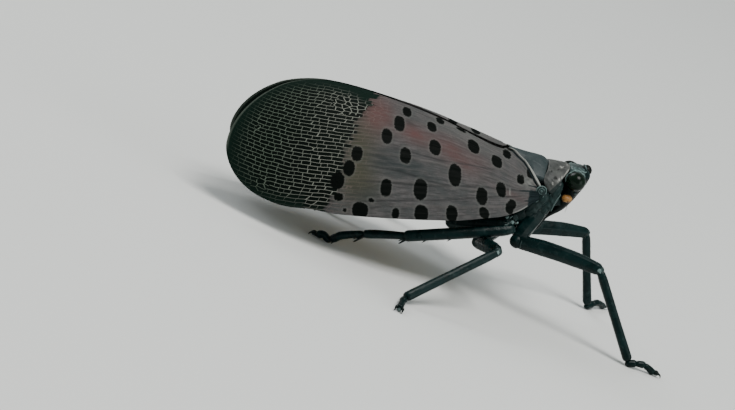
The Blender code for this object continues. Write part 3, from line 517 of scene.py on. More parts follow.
class Surface:
    """A Principled material built up from nodes, with short calls for the usual ones."""

    def __init__(self, name, **values):
        self.material = bpy.data.materials.new(name)
        self.material.use_nodes = True
        self.tree = self.material.node_tree
        self.shader = self.tree.nodes["Principled BSDF"]
        for key, value in values.items():
            self.shader.inputs[key.replace("_", " ")].default_value = value

    def fill(self, socket, value):
        """Feeds a socket from another or with a value, an RGB triple getting its alpha."""
        if isinstance(value, bpy.types.NodeSocket):
            self.tree.links.new(value, socket)
        else:
            socket.default_value = (*value, 1.0) if socket.type == "RGBA" else value

    def node(self, kind, inputs, output=0, **settings):
        node = self.tree.nodes.new(f"ShaderNode{kind}")
        for key, value in settings.items():
            setattr(node, key, value)
        for key, value in inputs.items():
            self.fill(node.inputs[key], value)
        return node.outputs[output]

    def math(self, operation, *values):
        return self.node("Math", dict(enumerate(values)), operation=operation)

    def times(self, first, second):
        return self.math("MULTIPLY", first, second)

    def jitter(self, value, noise, amount):
        """A value made uneven by a noise about 0.5."""
        return self.math("MULTIPLY_ADD", self.math("SUBTRACT", noise, 0.5), amount, value)

    def from_end(self, share):
        """How far a share from 0 to 1 is from the nearer end."""
        return self.math("MINIMUM", share, self.math("SUBTRACT", 1.0, share))

    def mark(self, name, part=None):
        """An attribute of the mesh as a vector, or one of its three parts."""
        vector = self.node("Attribute", {}, "Vector", attribute_name=name, attribute_type="GEOMETRY")
        if part is None:
            return vector
        return self.node("SeparateXYZ", {0: vector}, part)

    def parts(self, name, count=3):
        return [self.mark(name, k) for k in range(count)]

    def place(self):
        """The surface's own position in metres."""
        return self.node("TexCoord", {}, "Object")

    def noise(self, vector, scale, detail=3.0, rough=0.5):
        return self.node("TexNoise", {"Vector": vector, "Scale": scale, "Detail": detail,
                                      "Roughness": rough}, "Fac")

    def ramp(self, value, low, high, bottom=0.0, top=1.0):
        return self.node("MapRange", {0: value, 1: low, 2: high, 3: bottom, 4: top},
                         interpolation_type="SMOOTHSTEP")

    def mix(self, share, first, second):
        """A colour between two, each a socket or an RGB triple."""
        return self.node("Mix", {0: share, 6: first, 7: second}, 2, data_type="RGBA")

    def cover(self, colour, *layers):
        """A colour under layers of (share, colour)."""
        for share, over in layers:
            colour = self.mix(share, colour, over)
        return colour

    def set(self, key, value):
        self.tree.links.new(value, self.shader.inputs[key])

    def relief(self, *layers):
        """Relief from layers of (height from 0 to 1, depth in millimetres, strength)."""
        under = {}
        for height, depth, strength in layers:
            inputs = {"Height": height, "Distance": depth * MM, "Strength": strength, **under}
            under = {"Normal": self.node("Bump", inputs, "Normal")}
        self.set("Normal", under["Normal"])


def wing_material():
    """Greyish brown veined skin with black spots and a black tip netted with pale veins, painted shade
    in the groove and line along the inner edge, and a painted green sheen at the tip's edge.
    """
    look = Surface("wing_skin", Roughness=0.5, Specular_IOR_Level=0.04)
    plane = look.mark("plane")
    s, w = look.parts("plane", 2)
    spot, fade, pale = look.parts("marks")
    pink, cool, olive = look.parts("tints")
    vein, dark, past = look.parts("lines")
    row_at, crease = look.mark("net", 1), look.mark("net", 2)

    streaks = look.noise(look.node("Mapping", {0: look.mark("fan"), "Scale": (0.5, 34.0, 1.0)}),
                         1.6, 6.0, 0.65)
    mottle = look.noise(plane, 1.3, 4.0, 0.6)
    fine = look.noise(plane, 9.0, 3.0, 0.6)
    net, row_edge, chance = wing_net(look, plane, s, w, row_at, past)
    ragged = look.math("MULTIPLY_ADD", chance, 0.55, past)
    in_net = look.ramp(ragged, 0.2, 0.34)

    skin = look.cover(
        look.mix(look.ramp(streaks, 0.34, 0.66), (0.043, 0.0415, 0.0425), (0.088, 0.083, 0.084)),
        (look.ramp(mottle, 0.42, 0.62, 0.0, 0.5), (0.044, 0.050, 0.050)),
        (look.times(olive, 0.75), (0.044, 0.044, 0.026)),
        (look.times(cool, look.ramp(streaks, 0.3, 0.65, 0.9, 0.5)), (0.018, 0.025, 0.026)),
        (look.times(pink, look.ramp(mottle, 0.3, 0.7, 0.65, 0.95)), (0.092, 0.039, 0.037)),
        (look.times(net, look.ramp(past, -2.4, -0.1, 0.0, 0.4)), (0.14, 0.105, 0.095)),
        (look.times(vein, 0.22), (0.10, 0.09, 0.085)),
        (look.ramp(fine, 0.35, 0.7, 0.0, 0.25), (0.028, 0.027, 0.026)),
        (look.times(crease, 0.55), (0.022, 0.023, 0.024)),
        (pale, (0.25, 0.258, 0.242)))

    # The tip's cells are near black where the net shows fully. They turn greener where it fades towards
    # the tip's edge and corners, and that green is a painted sheen.
    tip_black_and_sheen = look.mix(fade, (0.003, 0.010, 0.007), (0.0015, 0.0035, 0.0025))
    tip_vein = look.mix(look.ramp(past, 1.0, 5.5), (0.160, 0.166, 0.145), (0.085, 0.110, 0.085))
    tip = look.cover(tip_black_and_sheen, (look.times(net, fade), tip_vein),
                     (look.times(pale, 0.8), (0.11, 0.13, 0.11)))
    smoky = look.times(look.ramp(ragged, -0.25, 0.3, 0.0, 0.5), look.ramp(row_edge, 0.1, 0.3))

    halo = look.times(look.ramp(spot, 0.03, 0.15, 0.2, 0.0), look.ramp(ragged, 0.0, 0.3, 1.0, 0.0))
    black = look.times(look.ramp(look.jitter(spot, fine, 0.2), -0.03, 0.03, 1.0, 0.0),
                       look.ramp(pale, 0.3, 0.7, 1.0, 0.0))
    # Part 1 of the lines holds the root's slate streaks, which are the wing's own, and the painted
    # shade of the inner groove and margin line. Both are made ragged here and painted slate.
    ragged_slate_and_shade = look.jitter(dark, streaks, 0.9)
    slate = look.mix(look.ramp(streaks, 0.35, 0.65), (0.002, 0.005, 0.006), (0.012, 0.020, 0.022))
    look.set("Base Color", look.cover(
        skin, (smoky, (0.010, 0.010, 0.008)), (in_net, tip), (halo, (0.12, 0.125, 0.115)),
        (black, (0.0008, 0.0018, 0.0013)), (look.ramp(ragged_slate_and_shade, 0.3, 0.6), slate)))
    look.set("Roughness", look.ramp(streaks, 0.3, 0.7, 0.5, 0.62))
    look.relief((streaks, 0.05, 0.55), (look.times(net, in_net), 0.03, 0.6), (fine, 0.012, 0.5))
    return look.material


def wing_net(look, plane, s, w, row_at, past):
    """The close net of the wing tip: long cells in rows, and irregular ones near the crest."""
    row_place = look.math("MULTIPLY_ADD", look.noise(plane, 0.8, 2.0), 0.8, row_at)
    row = look.math("FLOOR", row_place)
    chance = look.node("TexWhiteNoise", {"W": row}, "Value", noise_dimensions="1D")
    row_edge = look.from_end(look.math("SUBTRACT", row_place, row))
    row_line = look.ramp(row_edge, 0.045, 0.095, 1.0, 0.0)
    cell_wobble = look.noise(look.node("CombineXYZ", {0: s, 1: row}), 0.9, 1.0)
    per_mm, tightening = NET_CELLS
    closeness = look.math("MULTIPLY_ADD", past, tightening, per_mm)
    cell_at = look.math("MULTIPLY_ADD", past, closeness, look.times(chance, 7.0))
    cell_at = look.math("MULTIPLY_ADD", cell_wobble, 2.2, cell_at)
    cell_line = look.ramp(look.from_end(look.math("FRACT", cell_at)), 0.018, 0.038, 1.0, 0.0)
    bricks = look.math("MAXIMUM", row_line, cell_line)
    stretched = look.node("CombineXYZ", {0: look.times(s, 1.95), 1: look.times(row_place, 0.9)})
    away = look.node("TexVoronoi", {"Vector": stretched, "Scale": 1.0, "Randomness": 0.7}, "Distance",
                     feature="DISTANCE_TO_EDGE", voronoi_dimensions="2D")
    crazed = look.ramp(away, 0.04, 0.075, 1.0, 0.0)
    near_crest = look.times(look.ramp(w, 3.4, 1.8), look.ramp(past, 2.6, 1.2))
    patchy = look.math("MULTIPLY_ADD", near_crest, 0.36, look.noise(plane, 0.45, 1.0))
    net = look.node("Mix", {0: look.math("GREATER_THAN", patchy, 0.72), 2: bricks, 3: crazed})
    return net, row_edge, chance


def hindwing_material():
    """Red skin with black spots, a white band and a black tip."""
    look = Surface("hindwing_skin", Roughness=0.5)
    plane = look.mark("plane")
    streaks = look.noise(look.node("Mapping", {0: plane, "Scale": (0.4, 9.0, 1.0)}), 1.5, 4.0)
    edge = look.math("MULTIPLY_ADD", look.noise(plane, 1.2, 3.0), 1.2, look.mark("plane", 0))
    look.set("Base Color", look.cover(
        look.mix(look.ramp(streaks, 0.3, 0.7), (0.42, 0.025, 0.018), (0.60, 0.06, 0.035)),
        (look.ramp(edge, 11.0, 11.15), (0.62, 0.60, 0.54)),
        (look.ramp(edge, 12.9, 13.1), (0.010, 0.011, 0.013)),
        (look.ramp(look.mark("marks", 0), -0.03, 0.03, 1.0, 0.0), (0.010, 0.010, 0.011))))
    look.relief((streaks, 0.06, 0.6))
    return look.material


def cuticle_material():
    """Glossy chitin. Its tones part 0 is a share of the pale tone, which on knobs, knees and tegulae
    paints glints, and part 1 of a black one.
    """
    look = Surface("dark_cuticle", Specular_IOR_Level=0.11)
    pale, black = look.parts("tones", 2)
    place = look.place()
    cloud = look.noise(place, 900.0, 4.0, 0.6)
    folds = look.noise(place, 2300.0, 4.0, 0.6)
    grains = look.noise(place, 9000.0, 3.0, 0.6)
    dark, light = CUTICLE_TONES
    look.set("Base Color", look.cover(
        look.mix(look.ramp(cloud, 0.35, 0.65), dark, tuple(1.7 * c for c in dark)),
        (look.ramp(folds, 0.56, 0.74, 0.0, 0.08), light), (pale, light),
        (black, (0.001, 0.003, 0.002))))
    look.set("Roughness", look.math("MULTIPLY_ADD", black, 0.2, look.ramp(cloud, 0.3, 0.7, 0.18, 0.35)))
    look.relief((folds, 0.06, 0.6), (grains, 0.02, 0.6))
    return look.material


def plate_material(name, dark, light, patch, roughness, blotch):
    """A satin plate of the back with cloudy tones, pale patches, dark pits, and a slate tone that also
    paints shade.
    """
    look = Surface(name, Specular_IOR_Level=0.2)
    pale, pit, slate = look.parts("tones")
    place = look.place()
    cloud = look.noise(place, 1500.0, 5.0, 0.65)
    grains = look.noise(place, 11000.0, 3.0, 0.6)
    ragged = look.jitter(pale, look.noise(place, 5000.0, 3.0), 1.4)
    look.set("Base Color", look.cover(
        look.mix(look.ramp(cloud, 0.35, 0.65), dark, light),
        (look.ramp(look.noise(place, 2600.0, 3.0), 0.52, 0.66, 0.0, blotch), patch),
        (look.math("MAXIMUM", look.times(pale, 0.45), look.ramp(ragged, 0.4, 0.62)), patch),
        # The slate tone: the pronotum's dark front corner, and painted shade down its rear sides.
        (slate, (0.008, 0.014, 0.014)), (pit, (0.012, 0.012, 0.012))))
    look.set("Roughness", look.ramp(cloud, 0.3, 0.7, roughness - 0.08, roughness + 0.08))
    look.relief((cloud, 0.06, 0.5), (grains, 0.015, 0.7))
    return look.material


def eye_material():
    """A nearly black compound eye with fine facets under a clear gloss."""
    look = Surface("eye_gloss", Roughness=0.2, Specular_IOR_Level=0.13)
    place = look.place()
    facets = look.node("TexVoronoi", {"Vector": place, "Scale": 26000.0}, "Distance")
    depth = look.noise(place, 1600.0, 2.0)
    look.set("Base Color", look.mix(look.ramp(depth, 0.4, 0.6), (0.0005, 0.0038, 0.0016),
                                    (0.0012, 0.0075, 0.0032)))
    look.relief((facets, 0.006, 0.25))
    return look.material


def bulb_material():
    """An orange antenna bulb grained with sense organs."""
    look = Surface("orange_bulb", Roughness=0.42, Specular_IOR_Level=0.3)
    place = look.place()
    grains = look.node("TexVoronoi", {"Vector": place, "Scale": 15000.0}, "Distance")
    cloud = look.noise(place, 3000.0, 3.0)
    look.set("Base Color", look.cover(
        look.mix(look.ramp(cloud, 0.35, 0.65), (0.20, 0.088, 0.022), (0.31, 0.155, 0.042)),
        (look.ramp(grains, 0.1, 0.35, 0.35, 0.0), (0.40, 0.22, 0.075)),
        (look.mark("tones", 1), (0.02, 0.012, 0.008))))
    look.relief((grains, 0.02, 0.6))
    return look.material


def belly_material():
    """Yellow segments with black bands under a whitish bloom."""
    look = Surface("yellow_belly", Roughness=0.55)
    place = look.place()
    cloud = look.noise(place, 700.0, 4.0, 0.6)
    bloom = look.noise(place, 2200.0, 4.0, 0.7)
    look.set("Base Color", look.cover(
        look.mix(look.ramp(cloud, 0.35, 0.65), (0.52, 0.34, 0.035), (0.66, 0.50, 0.10)),
        (look.mark("tones", 0), (0.014, 0.013, 0.012)),
        (look.ramp(bloom, 0.5, 0.72, 0.0, 0.5), (0.55, 0.53, 0.46))))
    look.relief((cloud, 0.05, 0.5))
    return look.material


def roof(s, w, side):
    """Points of the folded wing's surface over s and w, where w below 0 lies beyond the crest."""
    width = along(WING_WIDTH, s)
    crest_slope = along(WING_CREST_SLOPE, s)
    spread = (along(WING_MEAN_SLOPE, s) - crest_slope) * (1 + WING_SLOPE_POWER)
    y = np.full(np.shape(s), CREST_HALF_GAP)
    z = along(CREST_HEIGHT, s)
    steps = 16
    gap = 2 * CREST_HALF_GAP
    over = w < 0
    reach = np.where(over, np.maximum(-w - gap, 0.0), w)
    for step in range(steps):
        part = (step + 0.5) / steps * reach / width
        slope = np.radians(crest_slope + spread * part ** WING_SLOPE_POWER)
        y = y + np.cos(slope) * reach / steps
        z = z - np.sin(slope) * reach / steps
    across = np.where(over, np.where(w > -gap, CREST_HALF_GAP + w, -y), y)
    z = z + along(CREST_RISE, s) * ease(CREST_RISE_REACH, 0.0, w) + WING_OVERLAP * ease(0.0, -gap, w)
    return join(-s, across * side, z)


def path_at(corners, share):
    """Points at shares of the length of an open path of plane points."""
    corners = np.asarray(corners, float)
    steps = steps_along(corners)
    return join(*(np.interp(share * steps[-1], steps, corners[:, k]) for k in (0, 1)))


def wing_plane(inner, outer, middle, reach, rows, columns):
    """The plane points of a wing: rows from root to tip, columns from inner to outer edge."""
    i, j = np.meshgrid(np.linspace(0.0, 1.0, rows), np.linspace(0.0, 1.0, columns), indexing="ij")
    inner_side, outer_side = path_at(inner, i), path_at(outer, i)
    if len(outer) == len(WING_WIDTH):
        outer_side[..., 1] = along(WING_WIDTH, outer_side[..., 0])
    angle = pi * (0.5 - j)
    fullness = np.where(j < 0.5, *TIP_FULLNESS)
    start, end = inner[-1][1], outer[-1][1]
    height = np.where(j < 0.5, middle[1] - start, end - middle[1])
    away = height * np.abs(np.sin(angle)) ** (2 / fullness) * np.where(j < 0.5, -1.0, 1.0)
    tip = join(middle[0] + reach * np.maximum(np.cos(angle), 0.0) ** (2 / fullness), middle[1] + away)
    down, across = i[..., None], j[..., None]
    far = np.array(inner[-1]) * (1 - across) + np.array(outer[-1]) * across
    plane = inner_side * (1 - across) + outer_side * across + (tip - far) * down
    return plane[..., 0], plane[..., 1], i, j


def surface_normals(points, side):
    """Unit normals of a wing grid that point away from the body."""
    return unit(np.cross(np.gradient(points, axis=0), np.gradient(points, axis=1)) * -side)


def spot_distance(spots, s, w):
    """Signed distance in millimetres to the nearest rounded spot, negative inside."""
    nearest = np.full(s.shape, 9.0)
    for at_s, at_w, long, wide in spots:
        size = (np.abs((s - at_s) / long) ** SPOT_SQUARENESS
                + np.abs((w - at_w) / wide) ** SPOT_SQUARENESS) ** (1 / SPOT_SQUARENESS)
        nearest = np.minimum(nearest, (size - 1) * min(long, wide) - SPOT_GROWTH)
    return nearest


def blobs(tints, s, w):
    """Soft round patches over the wing plane, from 0 to 1."""
    total = sum(strength * bell(s, at_s, long) * bell(w, at_w, wide)
                for at_s, at_w, long, wide, strength in tints)
    return np.clip(total, 0.0, 1.0)


def wing_veins(i, j, span):
    """The height of the long veins, which run from the root to the net."""
    vein = np.zeros(i.shape)
    for at in MAIN_VEINS:
        vein = np.maximum(vein, bell((j - at) * span, 0.0, 0.09) * ease(0.72, 0.55, i))
    for at in BRANCH_VEINS:
        branch = 0.5 * bell((j - at) * span, 0.0, 0.05) * ease(0.16, 0.3, i)
        vein = np.maximum(vein, branch * ease(0.68, 0.5, i))
    return vein


def wing_creases(s, w):
    """The depth of the long creases between the veins."""
    crease = np.zeros(s.shape)
    for stations in CREASES:
        first, last = stations[0][0], stations[-1][0]
        ends = ease(first, first + 0.8, s) * ease(last, last - 1.5, s)
        crease = np.maximum(crease, bell(w, along(stations, s), 0.055) * ends)
    return crease


def root_streaks(s, w):
    """The slate tone of the wing's root and of the streaks that run out of it."""
    dark = ease(1.15, 0.65, s) * ease(2.8, 3.15, w)
    for offset, lean, length, width in ROOT_STREAKS:
        dark = np.maximum(dark, bell(w, offset + lean * s, width) * ease(length, 0.5 * length, s))
    return dark


def pale_marks(s, w, j, border, to_outer, to_tip):
    """The pale tone of the inner border, the tip's rim, the root's cross and lip and the crest."""
    tip_rim = ease(0.16, 0.08, to_tip) * ease(0.56, 0.5, j) * ease(14.0, 15.5, s)
    cross_s, cross_w, cross_long, cross_wide = ROOT_CROSS
    cross = bell(s, cross_s, cross_long) * ease(cross_wide, 0.7 * cross_wide, np.abs(w - cross_w))
    lip = ease(0.13, 0.06, to_outer) * ease(2.4, 1.3, s)
    crest = bell(s, 5.5, 3.0) * ease(2.2, 0.5, w)
    root = bell(s, 1.05, 0.55) * bell(w, 2.5, 0.4) * (1 + 0.4 * np.sin(11 * s + 3 * np.sin(7 * w)))
    shares = (0.9 * border, 0.55 * tip_rim, 0.38 * cross, 0.5 * lip, 0.1 * crest, 0.28 * root)
    return np.maximum.reduce(shares)


def net_strength(s, w, reach):
    """How clearly the net shows: it fades out towards the tip's edge and two corners, where the tip's
    black turns to a painted green sheen.
    """
    start = WING_APEX_CENTRE[0]
    rim = reach - np.hypot(np.maximum(s - start, 0.0), (w - 4.4) * 1.1)
    fade = ease(0.1, 1.7, np.where(s > start, rim, 3.0)) * ease(-0.3, 0.6, 9.3 - w)
    corner = along(NET_CORNER, s)
    fade *= ease(corner - 0.3, corner + 0.9, w)
    return fade * np.where(s > 14.0, ease(-1.7, 0.6, (9.6 - w) + 0.55 * (15.5 - s)), 1.0)


def make_forewing(word, side, frame, material):
    """A forewing's skin. The left wing's crest lies over the right one's, and its tip is shorter."""
    inner = (*WING_INNER, (WING_APEX_CENTRE[0], 0.0))
    reach = WING_APEX_REACH[word]
    s, w, i, j = wing_plane(inner, WING_WIDTH, WING_APEX_CENTRE, reach, *WING_GRID)
    shift = along(WING_SEAM, s) * (1.0 if word == "right" else -SEAM_CROSSING)
    w = w + shift * np.clip(1 - w / SEAM_REACH, 0.0, 1.0) ** 2
    own_w = w - np.minimum(shift, 0.0)
    own_s = s + (WING_APEX_REACH["right"] - reach) * MARK_DRIFT * ease(2.0, 4.5, s)
    spots = spot_distance(SPOTS, own_s, own_w)
    if word == "left":
        spots = np.minimum(spots, spot_distance(CREST_SPOTS, s, w))

    span = np.hypot(s[:, -1] - s[:, 0], w[:, -1] - w[:, 0])[:, None]
    to_inner, to_outer, to_tip = j * span, (1 - j) * span, (1 - i) * WING_LENGTH
    width = 0.09 + 0.13 * ease(1.5, 0.45, s)
    border = ease(width + 0.03, width - 0.03, to_inner) * ease(3.0, 2.2, s)
    border *= 0.75 + 0.3 * ease(1.5, 0.6, s)
    # A groove beside the pale inner border near the root, and a thin line along the inner margin
    # further back. Both are sunk a little, and their dark slate colour is painted shade: the shade
    # under the border and under the other wing's edge.
    shaded_groove = np.maximum(bell(to_inner, width + 0.1, 0.085) * ease(2.6, 2.0, s),
                        0.5 * ease(0.06, 0.02, to_inner) * ease(2.0, 3.2, s))
    vein, crease = wing_veins(i, j, span), wing_creases(s, w)
    fan, fan_start = NET_FAN
    net_row = (w + fan * (s - fan_start) ** 2) / NET_ROW_PITCH

    surface = roof(s, w, side)
    normal = surface_normals(surface, side)
    swell = VEIN_HEIGHT * vein + BORDER_HEIGHT * border - GROOVE_DEPTH * shaded_groove - CREASE_DEPTH * crease
    edge = np.minimum(np.minimum(to_inner, to_outer), to_tip)
    depth = WING_SKIN_THICKNESS * ease(0.0, 0.25, edge) + WING_EDGE_THICKNESS
    shape = thin_sheet(
        surface + normal * swell[..., None], surface - normal * depth[..., None], turned=side < 0,
        plane=join(s, w, 0.0), fan=join(i * WING_LENGTH, j, 0.0),
        marks=join(spots, net_strength(s, w, reach), pale_marks(s, w, j, border, to_outer, to_tip)),
        tints=join(*(blobs(tints, s, w) for tints in (PINK_TINTS, COOL_TINTS, OLIVE_TINTS))),
        # The lines' second part is the root's slate streaks and the painted shade of the groove and
        # margin line.
        lines=join(vein, np.maximum(root_streaks(s, w), shaded_groove), own_s - along(NET_START, w)),
        net=join(0.0, net_row, crease))
    flat = (join(s, w) / WING_ATLAS_SIZE).reshape(-1, 2)
    add_piece(f"forewing_skin_{word}", [shape], frame, material, [f"forewing_{word}"],
              np.vstack([flat, flat + (0.0, 0.5)]))


def make_hindwing(word, side, frame, material):
    """A pleated hindwing's skin, under the forewing."""
    s, w, _, j = wing_plane(HINDWING_INNER, HINDWING_OUTER, HINDWING_APEX_CENTRE,
                            HINDWING_APEX_REACH, *HINDWING_GRID)
    surface = roof(s, w, side)
    normal = surface_normals(surface, side)
    pleats = PLEAT_HEIGHT * np.cos(j * 2 * pi * PLEATS)
    outer = surface - normal * (HINDWING_DEPTH - pleats)[..., None]
    shape = thin_sheet(outer, outer - normal * HINDWING_THICKNESS, turned=side < 0,
                       plane=join(s, w, 0.0), marks=join(spot_distance(HINDWING_SPOTS, s, w), 0.0, 0.0))
    add_piece(f"hindwing_skin_{word}", [shape], frame, material, [f"hindwing_{word}"])


def trunk_rings(stations, waist, count, sides, sign=1.0):
    """Oval rings across the trunk, widest at the waist's height."""
    table = np.array(sorted(stations), float)
    x = np.linspace(table[0, 0], table[-1, 0], count)[:, None]
    half, top, bottom = (along(table[:, [0, k]], x) for k in (1, 2, 3))
    waist = np.minimum(waist, top - 0.3) if waist is not None else (top + bottom) / 2
    angle = 2 * pi * np.arange(sides) / sides
    height = np.where(np.cos(angle) > 0, top - waist, waist - bottom)
    return join(x * sign, half * np.sin(angle), waist + height * np.cos(angle))


def make_thorax(frame, material):
    """The flanks and underside with their sutures, pale ridges below the wing roots, and coxal knobs
    with painted glints.
    """
    rings = trunk_rings(THORAX_STATIONS, THORAX_WAIST, 150, 96)
    x, y, z = np.moveaxis(rings, -1, 0)
    sutures = sum(depth * bell(x, at + lean * (z + 1.0), SUTURE_WIDTH) for at, lean, depth in SUTURES)
    sutures += 0.05 * bell(z, -1.35 - 0.25 * x, 0.08) * ease(1.2, 0.5, x)
    lobes = 0.05 * np.sin(x * 4.2) * ease(-0.3, -1.2, z)
    rings = rings + unit(join(0.0, y, z - THORAX_WAIST)) * (lobes - sutures)[..., None]
    shapes = [loft(rings, tones=join(0.0, 0.8 * ease(0.02, 0.06, sutures), 0.0))]
    for side in SIDES.values():
        for path, radius, pale in FLANK_LINES:
            shapes.append(tube(mirror(path, side), radius, 8 * len(path), 8, tones=pale * PALE))
        for path, radii in FLANK_LOBES:
            lobe = tube(mirror(path, side), radii, 70, 56, (0.0, 1.0, 0.0), carinae=11, carina=0.06,
                        tones=0.055 * PALE)
            shapes.append(wrinkle(wrinkle(lobe, 0.02, 1.3), 0.022, 0.5))
        for centre, radii in FLANK_FILLINGS:
            shapes.append(ball(mirror(centre, side), radii))
        # Coxal knobs: their pale share is a painted glint, strongest on the small ones.
        for centre, size, pale in COXA_KNOBS:
            knob = ball(mirror(centre, side), (size, 0.8 * size, size), 28, 36, tones=pale * PALE)
            shapes.append(wrinkle(knob, 0.045, 0.38))
    add_piece("thorax_skin", shapes, frame, material, ["thorax"])


def make_abdomen(frame, material):
    """Overlapping segments, black across their middles above and yellow at their rear edges."""
    count, sides = 180, 80
    rings = trunk_rings(ABDOMEN_STATIONS, None, count, sides, sign=-1.0)
    within = np.linspace(0.0, 1.0, count)[:, None] * ABDOMEN_SEGMENTS % 1.0
    flare = 0.10 * within ** 1.5 - 0.06
    rings = rings + unit(rings - rings.mean(1)[:, None]) * flare[..., None]
    upper = np.cos(2 * pi * np.arange(sides) / sides)
    band = ease(0.08, 0.2, within) * ease(0.78, 0.66, within)
    black = band * np.clip(0.25 + ease(-0.4, 0.35, upper), 0.0, 1.0)
    shape = loft(rings, tones=join(black, 0.0, 0.0))
    add_piece("abdomen_skin", [shape], frame, material, ["abdomen"])


def make_pronotum(frame, material):
    """The saddle behind the head with its keel, pits and pale patches, and painted shade down its rear
    sides.
    """
    i, j = np.meshgrid(np.linspace(0.0, 1.0, 70), np.linspace(-1.0, 1.0, 180), indexing="ij")
    angle = np.abs(j) * PRONOTUM_REACH
    x = along(PRONOTUM_REAR, angle) * (1 - i) + along(PRONOTUM_FRONT, angle) * i
    pits = np.zeros(x.shape)
    for at_x, at_angle, radius in PRONOTUM_PITS:
        away = np.hypot(x - at_x, np.radians(angle - at_angle) * PRONOTUM_HALF_WIDTH)
        pits = np.maximum(pits, bell(away, 0.0, radius))
    waves = 0.012 * np.sin(x * 14 + 3 * np.sin(j * 9)) * np.cos(j * 23)
    crown = PRONOTUM_CROWN * (1 - np.abs(2 * i - 1) ** 3)
    keel = PRONOTUM_KEEL_HEIGHT * bell(j * PRONOTUM_REACH, 0.0, 2.2)
    rise = crown + keel - PRONOTUM_PIT_DEPTH * pits + waves
    turn = np.radians(j * PRONOTUM_REACH)
    outer, inner = (join(x, (PRONOTUM_HALF_WIDTH + height) * np.sin(turn),
                         (PRONOTUM_TOP + height) * np.cos(turn))
                    for height in (rise, -PRONOTUM_THICKNESS))

    patches = sum(strength * bell(angle, at_angle, wide) * bell(x, at_x, long)
                  for at_angle, at_x, wide, long, strength in PRONOTUM_PATCHES)
    ragged = patches * (1 + 0.5 * np.sin(x * 31) * np.sin(angle * 0.9))
    rim = ease(0.06, 0.0, np.minimum(i, 1 - i))
    front_rim = ease(0.9, 1.0, i) * ease(18.0, 26.0, angle) * ease(50.0, 44.0, angle)
    at_angle, at_x, lean = PRONOTUM_CORNER
    corner = ease(-0.03, 0.04, x - at_x + lean * (angle - at_angle))
    corner *= ease(at_angle - 4.0, at_angle + 2.0, angle)
    # Painted shade: the plate turns slate down its sides towards the rear.
    shade = 0.3 * ease(1.0, 0.4, x) * ease(25.0, 50.0, angle)
    tones = join(np.clip(ragged + 0.35 * rim + 0.75 * front_rim, 0, 1), np.clip(pits * 0.85, 0, 1),
                 np.maximum(corner, shade))
    shape = thin_sheet(outer, inner, turned=True, tones=tones)
    add_piece("pronotum_skin", [shape], frame, material, ["pronotum"])


def make_mesonotum(frame, material):
    """The triangular plate with its keels and the scutellum's tip."""
    i, y = np.meshgrid(np.linspace(0.0, 1.0, 90), np.linspace(-1.0, 1.0, 141) * MESONOTUM_HALF_WIDTH,
                       indexing="ij")
    share = np.abs(y) / MESONOTUM_HALF_WIDTH
    front = MESONOTUM_FRONT - MESONOTUM_SWEEP * share
    rear = MESONOTUM_TIP + (front - MESONOTUM_SIDE - MESONOTUM_TIP) * share
    x = front + (rear - front) * i
    fall = MESONOTUM_FALL * (1 + 1.3 * ease(-0.7, -1.7, x))
    keel = np.maximum.reduce([bell(np.abs(y), at * (1 - 0.55 * i), 0.05) for at in MESONOTUM_KEELS])
    z = along(MESONOTUM_TOP, x) - fall * np.abs(y) ** 1.5 - 0.08 * ease(-0.6, -1.6, x) + 0.015 * keel
    rim = ease(0.12, 0.0, (1 - i) * (front - rear))
    outer = join(x, y, z)
    shape = thin_sheet(outer, outer - (0.0, 0.0, MESONOTUM_THICKNESS),
                       tones=join(0.06 * keel + 0.1 * rim, 0.0, 0.0))
    add_piece("mesonotum_skin", [shape], frame, material, ["mesonotum"])


def skull():
    """The head's rings with the eyes' raised rims and the ridges down the face, and their tones."""
    table = np.array(HEAD_SLICES, float)
    z = np.linspace(table[0, 0], table[-1, 0], 150)[:, None]
    back, front, half = (along(table[:, [0, k]], z) for k in (1, 2, 3))
    angle = 2 * pi * np.arange(128) / 128
    along_x, across = (np.sign(wave) * np.abs(wave) ** HEAD_SQUARENESS
                       for wave in (np.cos(angle), np.sin(angle)))
    rings = join((back + front) / 2 + (front - back) / 2 * along_x, half * across, z)
    middle = join((back + front) / 2, 0.0, z)
    near = np.minimum(*(np.linalg.norm(rings - mirror(EYE_SKIN_CENTRE, side), axis=-1)
                        for side in SIDES.values()))
    rim = bell(near, EYE_RADIUS + 0.06, 0.05)
    face = ease(0.2, 0.7, along_x)
    side_ridge = bell(np.abs(across), 0.62, 0.06) * face
    mid_ridge = bell(across, 0.0, 0.05) * face * ease(1.2, 0.2, z)
    x = rings[..., 0]
    cheek = bell(x, back, 0.1) * ease(-1.6, -0.9, z) * ease(0.6, 0.1, z)
    top = ease(1.2, 1.42, z) * ease(2.98, 2.75, x)
    mottle = 0.5 + 0.5 * np.sin(19 * x + 4 * np.sin(8 * rings[..., 1]))
    pale = (0.16 + 0.24 * mottle) * top + 0.3 * rim * ease(0.75, 1.15, z)
    pale = np.clip(pale + 0.12 * side_ridge * ease(-0.6, 0.6, z) + 0.35 * cheek, 0, 1)
    black = 0.75 * ease(1.35, 0.9, z) * (1 - pale)
    side_height, mid_height = FACE_RIDGE_HEIGHTS
    swell = EYE_RIM_HEIGHT * rim + side_height * side_ridge + mid_height * mid_ridge
    return rings + unit(rings - middle) * swell[..., None], join(pale, black, 0.0)


